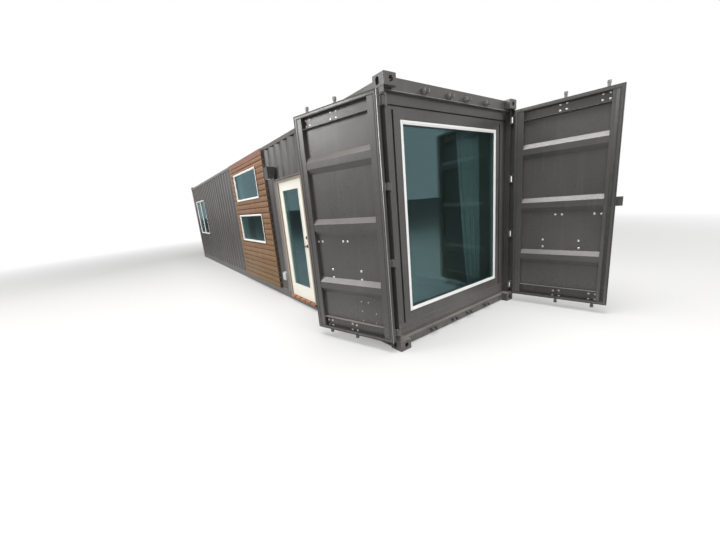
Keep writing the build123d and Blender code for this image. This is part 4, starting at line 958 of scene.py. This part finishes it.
class CABIN_OT_windows(bpy.types.Operator):
    """Add beads, sashes, seals and caulk to the windows"""
    bl_idname = "cabin.windows"
    bl_label = "Windows"

    def execute(self, context):
        beads = []
        seals = []
        caulk = []
        places = ((UPPER_WINDOW, CLAD_FACE), (LOWER_WINDOW, CLAD_FACE), (REAR_WINDOW, WALL_SET_IN))
        for window, face in places:
            hole = inset(window, SIDE_FRAME)
            panes = [hole]
            width = BEAD_WIDTH
            if window == REAR_WINDOW:
                middle = (hole[0] + hole[1]) / 2
                half = MEETING_STILE / 2
                panes = [(hole[0], middle - half, *hole[2:]), (middle + half, *hole[1:])]
                width = SASH_WIDTH
            glass = face + PANE_SET_BACK
            bead = section(-width, -HAIR, face - BEAD_PROUD, glass - HAIR, 1.5)
            seal = section(-width - SEAL_WIDTH, CLEAR - width, glass - SEAL_WIDTH, glass - SEAL_GAP, 0.8)
            beads.extend(mitred(pane, bead, "side") for pane in panes)
            seals.extend(mitred(pane, seal, "side") for pane in panes)
            edge = section(-CLEAR, CAULK_WIDTH, face - FRAME_PROUD + BEAD_PROUD, face - SEAL_GAP, 1.2)
            caulk.append(mitred(window, edge, "side"))
        put("side_window_beads", joined(beads), "vinyl")
        put("side_window_seals", joined(seals), "rubber")
        put("side_window_caulk", joined(caulk), "rubber")
        hole = inset(FRONT_WINDOW, WINDOW_FRAME)
        glass = INFILL_FACE + GLASS_SET_BACK
        bead = section(-FRONT_BEAD, CLEAR, INFILL_FACE - BEAD_PROUD, glass - SEAT, 2.5)
        seal = section(-FRONT_BEAD - SEAL_WIDTH, CLEAR - FRONT_BEAD, INFILL_FACE + SEAL_WIDTH, glass, 1.0)
        put("front_window_bead", mitred(hole, bead, "end"), "vinyl")
        put("front_window_seal", mitred(hole, seal, "end"), "rubber")
        return {"FINISHED"}


def coach_bolt(radius, height):
    """Domed head, turned from (r cos t + 0.2, h sin t) with t up to a quarter turn, on a sunk foot."""
    t = np.linspace(0, np.pi / 2, 6)
    dome = np.stack([radius * np.cos(t) + 0.2, height * np.sin(t)], -1)
    return turned(np.concatenate([[(radius * 0.9, -0.6)], dome]), 14)


def on_leaf(head, places):
    """One head at each (distance from the pin, height), on the sheet that it comes through there."""
    at = []
    for u, z in places:
        on_rail = z < LEAF_BOTTOM + LEAF_RAIL or z > LEAF_TOP - LEAF_RAIL
        at.append((u, LEAF_OUTER + RAIL_SKIN if on_rail else PANEL_FACE + PANEL_SKIN, z))
    return copies(head, at, ON_LEAF)


class CABIN_OT_bolts(bpy.types.Operator):
    """Set the coach bolts of the lock gear on the inner face of each cargo door, and the small screws"""
    bl_idname = "cabin.bolts"
    bl_label = "Door bolts"

    def execute(self, context):
        steel = settings(context, "steel")
        head = coach_bolt(steel.bolt_radius, steel.bolt_height)
        for side, bolts in LEAF_BOLTS.items():
            put(side + "_leaf_bolts", on_leaf(head, bolts), "bolt", side + "_leaf")
        put("left_leaf_screws", on_leaf(turned(LEAF_SCREW, 12), LEAF_SCREWS), "silver", "left_leaf")
        return {"FINISHED"}


class CABIN_OT_seals(bpy.types.Operator):
    """Lay the seal with its steel retaining strip round the inner face of each cargo door"""
    bl_idname = "cabin.seals"
    bl_label = "Door seals"

    def execute(self, context):
        face = LEAF_INNER
        base = face + SEAT
        rect = (LEAF_EDGE, LEAF_FREE, LEAF_BOTTOM, LEAF_TOP)
        lapped = (LEAF_EDGE, LEAF_FREE + GASKET_LAP - LAP_SHORT, LEAF_BOTTOM, LEAF_TOP)
        rows, row_end = STRIP_SCREW_ROWS
        columns, column_end = STRIP_SCREW_COLUMNS
        top = face + STRIP_PROUD - SEAT
        places = [(x, top, z) for x in (LEAF_EDGE + STRIP_SCREW_IN, LEAF_FREE - STRIP_SCREW_IN)
                  for z in np.linspace(LEAF_BOTTOM + row_end, LEAF_TOP - row_end, rows)]
        places += [(x, top, z) for z in (LEAF_BOTTOM + STRIP_SCREW_IN, LEAF_TOP - STRIP_SCREW_IN)
                   for x in np.linspace(LEAF_EDGE + column_end, LEAF_FREE - column_end, columns)]
        screws = copies(turned(STRIP_SCREW, 10), places, ON_LEAF)
        strip = mitred(rect, section(*STRIP, base, face + STRIP_PROUD, STRIP_EDGE), "end")
        for side, edge in (("left", lapped), ("right", rect)):
            leaf = side + "_leaf"
            lips = [mitred(edge, section(*OUTER_LIP, base, face + LIP_PROUD, LIP_EDGE), "end"),
                    mitred(rect, section(*INNER_LIP, base, face + LIP_PROUD, LIP_EDGE), "end")]
            if side == "right":
                low, high = WIDE_LIP_PROUD
                lips.append(bar((LEAF_FREE - WIDE_LIP[0], face + low, LEAF_BOTTOM + WIDE_LIP_END),
                                (LEAF_FREE - WIDE_LIP[1], face + high, LEAF_TOP - WIDE_LIP_END), 2, 0.8))
            put(leaf + "_seal", joined(lips), "rubber", leaf, (leaf + "_gasket",))
            if side == "left":
                trim = bar((LEAF_EDGE + SEAT, base, LEAF_BOTTOM + TRIM_END),
                           (LEAF_EDGE + TRIM_WIDTH, face + TRIM_PROUD, LEAF_TOP - TRIM_END), 2, 1.0)
                put("left_leaf_edge_trim", trim, "silver", leaf)
            put(leaf + "_seal_strip", joined([strip, screws]), "paint", leaf)
        return {"FINISHED"}


def prism(outline, y0, y1):
    """An (x, z) outline carried along Y."""
    outline = np.asarray(outline, float)
    rings = np.zeros((2, len(outline), 3))
    rings[:, :, 0] = outline[:, 0]
    rings[:, :, 2] = outline[:, 1]
    rings[0, :, 1] = y0
    rings[1, :, 1] = y1
    return skin(rings)


def light_shapes(wall):
    """The wall light's hood, an outline carried along Y, and its back plate and lens, both rounded bars."""
    back = wall - LIGHT_PLATE
    x0 = wall - LIGHT_DEPTH
    y0 = LIGHT_FRONT
    y1 = y0 + LIGHT_WIDTH
    z0 = LIGHT_BOTTOM
    z1 = z0 + LIGHT_HEIGHT
    hood = [(back, z1 - LIGHT_LIP), (x0 + LIGHT_EASE, z1), (x0, z1 - LIGHT_EASE), (x0, z0 + LIGHT_EASE),
            (x0 + LIGHT_EASE, z0), (x0 + LIGHT_FOOT, z0), (back, z0 + LIGHT_FOOT_RISE - LIGHT_PLATE)]
    plate = bar((back, y0 + PLATE_IN, z0 + LIGHT_FOOT_RISE - LIGHT_LIP),
                (wall, y1 - PLATE_IN, z1 - 3), 1, 3.0)
    lens = bar((x0 + LENS_X[0], y0 + LENS_IN, z0 - CLEAR),
               (x0 + LENS_X[1], y1 - LENS_IN, z0 + LENS_SUNK), 1, 1.0)
    return joined([prism(hood, y0 + 1, y1 - 1), plate]), lens


def outlet_shape(wall):
    """The outlet's base, its bubble cover and the hinge barrel over them, each a rounded bar."""
    y0 = OUTLET_FRONT
    y1 = y0 + OUTLET_WIDTH
    z0 = OUTLET_BOTTOM
    z1 = z0 + OUTLET_HEIGHT
    base = bar((wall - OUTLET_BASE, y0, z0), (wall, y1, z1), 0, 10.0, (True, False), 5)
    cover = bar((wall - OUTLET_DEPTH, y0 + COVER_IN, z0 + COVER_IN),
                (wall - OUTLET_BASE - 1, y1 - COVER_IN, z1 - COVER_TOP_IN), 0, 9.0, (True, False), 5)
    hinge = bar((wall + HINGE_X[0], y0 + COVER_HINGE_IN, z1 + HINGE_Z[0]),
                (wall + HINGE_X[1], y1 - COVER_HINGE_IN, z1 + HINGE_Z[1]), 1, 3.0)
    return joined([base, cover, hinge])


class CABIN_OT_fittings(bpy.types.Operator):
    """Build the wall light, the outlet's bubble cover, the sill blocks and the door's small hardware"""
    bl_idname = "cabin.fittings"
    bl_label = "Fittings"

    def execute(self, context):
        wall = WALL_SET_IN - CLEAR
        box, lens = light_shapes(wall)
        put("wall_light_box", box, "fitting", "cabin", ("wall_light",))
        put("wall_light_lens", lens, "vinyl")
        put("outlet_cover", outlet_shape(wall), "silver", "cabin", ("outlet_box",))
        draw = np.random.default_rng(5)
        ends = np.linspace(DOORWAY_FRONT, DOORWAY_REAR, SILL_BLOCKS + 1)
        blocks = []
        tones = []
        reds = []
        for first, last in zip(ends, ends[1:]):
            blocks.append(bar((SILL_X[0], first + SILL_GAP, FLOOR_TOP - SILL_DEEP),
                              (SILL_X[1], last - SILL_GAP, FLOOR_TOP), 1, BOARD_EDGE))
            tones.append(draw.random())
            reds.append(draw.uniform(0.3, 0.7))
        put("door_sill_blocks", joined(blocks), "sill", "cabin", ("door_sill",),
            grain_values(blocks, tones, reds))
        bed = bar((BED_X[0], DOORWAY_FRONT + 1, FLOOR_TOP + BED_Z[0]),
                  (BED_X[1], DOORWAY_REAR - 1, FLOOR_TOP + BED_Z[1]), 1, 1.5)
        put("door_sill_bed", bed, "rubber")
        inner = DOOR_FACE + DOOR_THICK
        sweep = bar((DOOR_FACE + SWEEP_IN, DOOR_FRONT + SWEEP_END, DOOR_BOTTOM + SWEEP_Z[0]),
                    (inner - SWEEP_IN, DOOR_REAR - SWEEP_END, DOOR_BOTTOM + SWEEP_Z[1]), 1, 1.0)
        put("door_sweep", sweep, "rubber", "man_door")
        place = (DOOR_FACE, DOOR_FRONT + DEADBOLT_IN, DOOR_BOTTOM + DEADBOLT_RISE)
        put("door_deadbolt", copies(turned(DEADBOLT, 28), [place], ON_WALL), "fitting", "man_door")
        return {"FINISHED"}


def weld_bead(first, last, radius, seed):
    """Weld bead: a half-sunk rope between two points whose radius swells and dips with each ripple.

    The radius is R (0.86 + 0.14 |sin(pi n s / 3)| + a little noise), with n steps along s from 0 to 1."""
    first = np.asarray(first, float)
    last = np.asarray(last, float)
    along = last - first
    length = np.linalg.norm(along)
    along = along / length
    side = np.cross(along, (0.0, 0.0, 1.0) if abs(along[2]) < 0.9 else (1.0, 0.0, 0.0))
    side = side / np.linalg.norm(side)
    other = np.cross(along, side)
    draw = np.random.default_rng(seed)
    s = np.linspace(0, 1, WELD_STEPS)
    ripple = np.abs(np.sin(np.pi * WELD_STEPS / 3 * s))
    r = radius * (0.86 + 0.14 * ripple + draw.normal(0, 0.03, WELD_STEPS))
    t = np.linspace(0, 2 * np.pi, 8, endpoint=False)
    ring = np.cos(t)[None, :, None] * side + np.sin(t)[None, :, None] * other
    return skin(first + along * length * s[:, None, None] + r[:, None, None] * ring)


class CABIN_OT_welds(bpy.types.Operator):
    """Run the weld beads where the castings, posts, header and sill meet"""
    bl_idname = "cabin.welds"
    bl_label = "Weld beads"

    def execute(self, context):
        beads = []
        x0 = POST_INNER
        x1 = WIDTH - POST_INNER
        for k, x in enumerate((x0, x1)):
            foot = (x, POST_BACK, CASTING_Z + WELD_END)
            head = (x, POST_BACK, HEADER_UNDER - WELD_END)
            beads.append(weld_bead(foot, head, POST_WELD, 20 + k))
        for k, z in enumerate((SILL_TOP, HEADER_UNDER)):
            beads.append(weld_bead((x0 + WELD_END, BAND_FACE, z), (x1 - WELD_END, BAND_FACE, z),
                                   BAND_WELD, 30 + k))
        put("end_frame_welds", joined(beads), "paint")
        return {"FINISHED"}


class CABIN_OT_stage(bpy.types.Operator):
    """Set the floor, the soft lamps and the camera"""
    bl_idname = "cabin.stage"
    bl_label = "Stage"

    def execute(self, context):
        stage = settings(context, "stage")
        scene = context.scene

        def add(name, data):
            """Link a new object with this data to the scene."""
            made = bpy.data.objects.new(name, data)
            scene.collection.objects.link(made)
            return made

        camera_data = bpy.data.cameras.new("Camera")
        camera_data.sensor_width = CAMERA_SENSOR
        camera_data.lens = CAMERA_LENS
        camera_data.clip_start, camera_data.clip_end = CAMERA_CLIP
        scene.camera = add("Camera", camera_data)
        scene.camera.matrix_world = CAMERA_PLACE
        angle = np.linspace(0, 2 * np.pi, FLOOR_STEPS, endpoint=False)
        radii = np.array(FLOOR_RADII)[:, None]
        rings = np.stack([radii * np.cos(angle), radii * np.sin(angle), 0.0 * radii + 0.0 * angle], -1)
        points, faces = skin(rings)
        mesh = bpy.data.meshes.new("studio_floor")
        mesh.from_pydata(points.tolist(), [], faces[:-2])
        floor = add("studio_floor", mesh)
        material, tree, surface = shader("Studio floor", tuple(stage.floor), 0.9)
        coordinates = node(tree, "TexCoord").outputs["Object"]
        reach = node(tree, "VectorMath", {0: coordinates}, operation="LENGTH").outputs["Value"]
        camera_ray = node(tree, "LightPath").outputs["Is Camera Ray"]
        fade = math_node(tree, "MULTIPLY", spread(tree, reach, *FLOOR_FADE, 0.3, 1.0), camera_ray)
        glow = node(tree, "Emission", {"Color": (1.0, 1.0, 1.0, 1.0), "Strength": 1.0}).outputs["Emission"]
        both = node(tree, "MixShader", {0: fade, 1: surface.outputs["BSDF"], 2: glow}).outputs["Shader"]
        tree.links.new(both, tree.nodes["Material Output"].inputs["Surface"])
        mesh.materials.append(material)
        world = bpy.data.worlds.new("Studio")
        scene.world = world
        world.use_nodes = True
        tree = world.node_tree
        background = tree.nodes["Background"]
        background.inputs["Color"].default_value = (1.0, 1.0, 1.0, 1.0)
        path = node(tree, "LightPath")
        seen = math_node(tree, "MAXIMUM", path.outputs["Is Camera Ray"], path.outputs["Is Glossy Ray"])
        seen = math_node(tree, "MAXIMUM", seen, path.outputs["Is Transmission Ray"])
        tree.links.new(spread(tree, seen, 0.0, 1.0, stage.sky, 1.0), background.inputs["Strength"])
        for key, (name, place, target, size) in LAMPS.items():
            lamp_data = bpy.data.lights.new(name, "AREA")
            lamp_data.shape = "DISK"
            lamp_data.size = size
            lamp_data.energy = getattr(stage, key)
            lamp = add(name, lamp_data)
            lamp.location = place
            lamp.rotation_euler = (Vector(target) - Vector(place)).to_track_quat("-Z", "Y").to_euler()
        scene.view_settings.view_transform = "Standard"
        return {"FINISHED"}


OPERATORS = (
    CABIN_OT_stage, CABIN_OT_finishes, CABIN_OT_boards, CABIN_OT_curtain, CABIN_OT_windows, CABIN_OT_bolts,
    CABIN_OT_seals, CABIN_OT_fittings, CABIN_OT_welds,
)
GROUPS = (
    ("steel", CabinSteel), ("timber", CabinTimber), ("glazing", CabinGlazing), ("curtain", CabinCurtain),
    ("stage", CabinStage),
)


class CABIN_PT_panel(bpy.types.Panel):
    """Sidebar panel with every step and setting of the cabin"""
    bl_label = "Container cabin"
    bl_idname = "CABIN_PT_panel"
    bl_space_type = "VIEW_3D"
    bl_region_type = "UI"
    bl_category = "Cabin"

    def draw(self, context):
        for key, group in GROUPS:
            box = self.layout.box()
            box.label(text=key.capitalize())
            for name in group.__annotations__:
                box.prop(settings(context, key), name)
        for operator in OPERATORS:
            self.layout.operator(operator.bl_idname)


def register():
    """Add the settings, the operators and the panel."""
    for key, group in GROUPS:
        bpy.utils.register_class(group)
        setattr(bpy.types.Scene, "cabin_" + key, PointerProperty(type=group))
    for operator in OPERATORS:
        bpy.utils.register_class(operator)
    bpy.utils.register_class(CABIN_PT_panel)


def unregister():
    """Take them away again."""
    bpy.utils.unregister_class(CABIN_PT_panel)
    for operator in reversed(OPERATORS):
        bpy.utils.unregister_class(operator)
    for key, group in reversed(GROUPS):
        delattr(bpy.types.Scene, "cabin_" + key)
        bpy.utils.unregister_class(group)


def main():
    register()
    bpy.ops.cabin.stage()
    bpy.ops.cabin.finishes()
    bpy.ops.cabin.boards()
    bpy.ops.cabin.curtain()
    bpy.ops.cabin.windows()
    bpy.ops.cabin.bolts()
    bpy.ops.cabin.seals()
    bpy.ops.cabin.fittings()
    bpy.ops.cabin.welds()


if __name__ == "__main__":
    main()
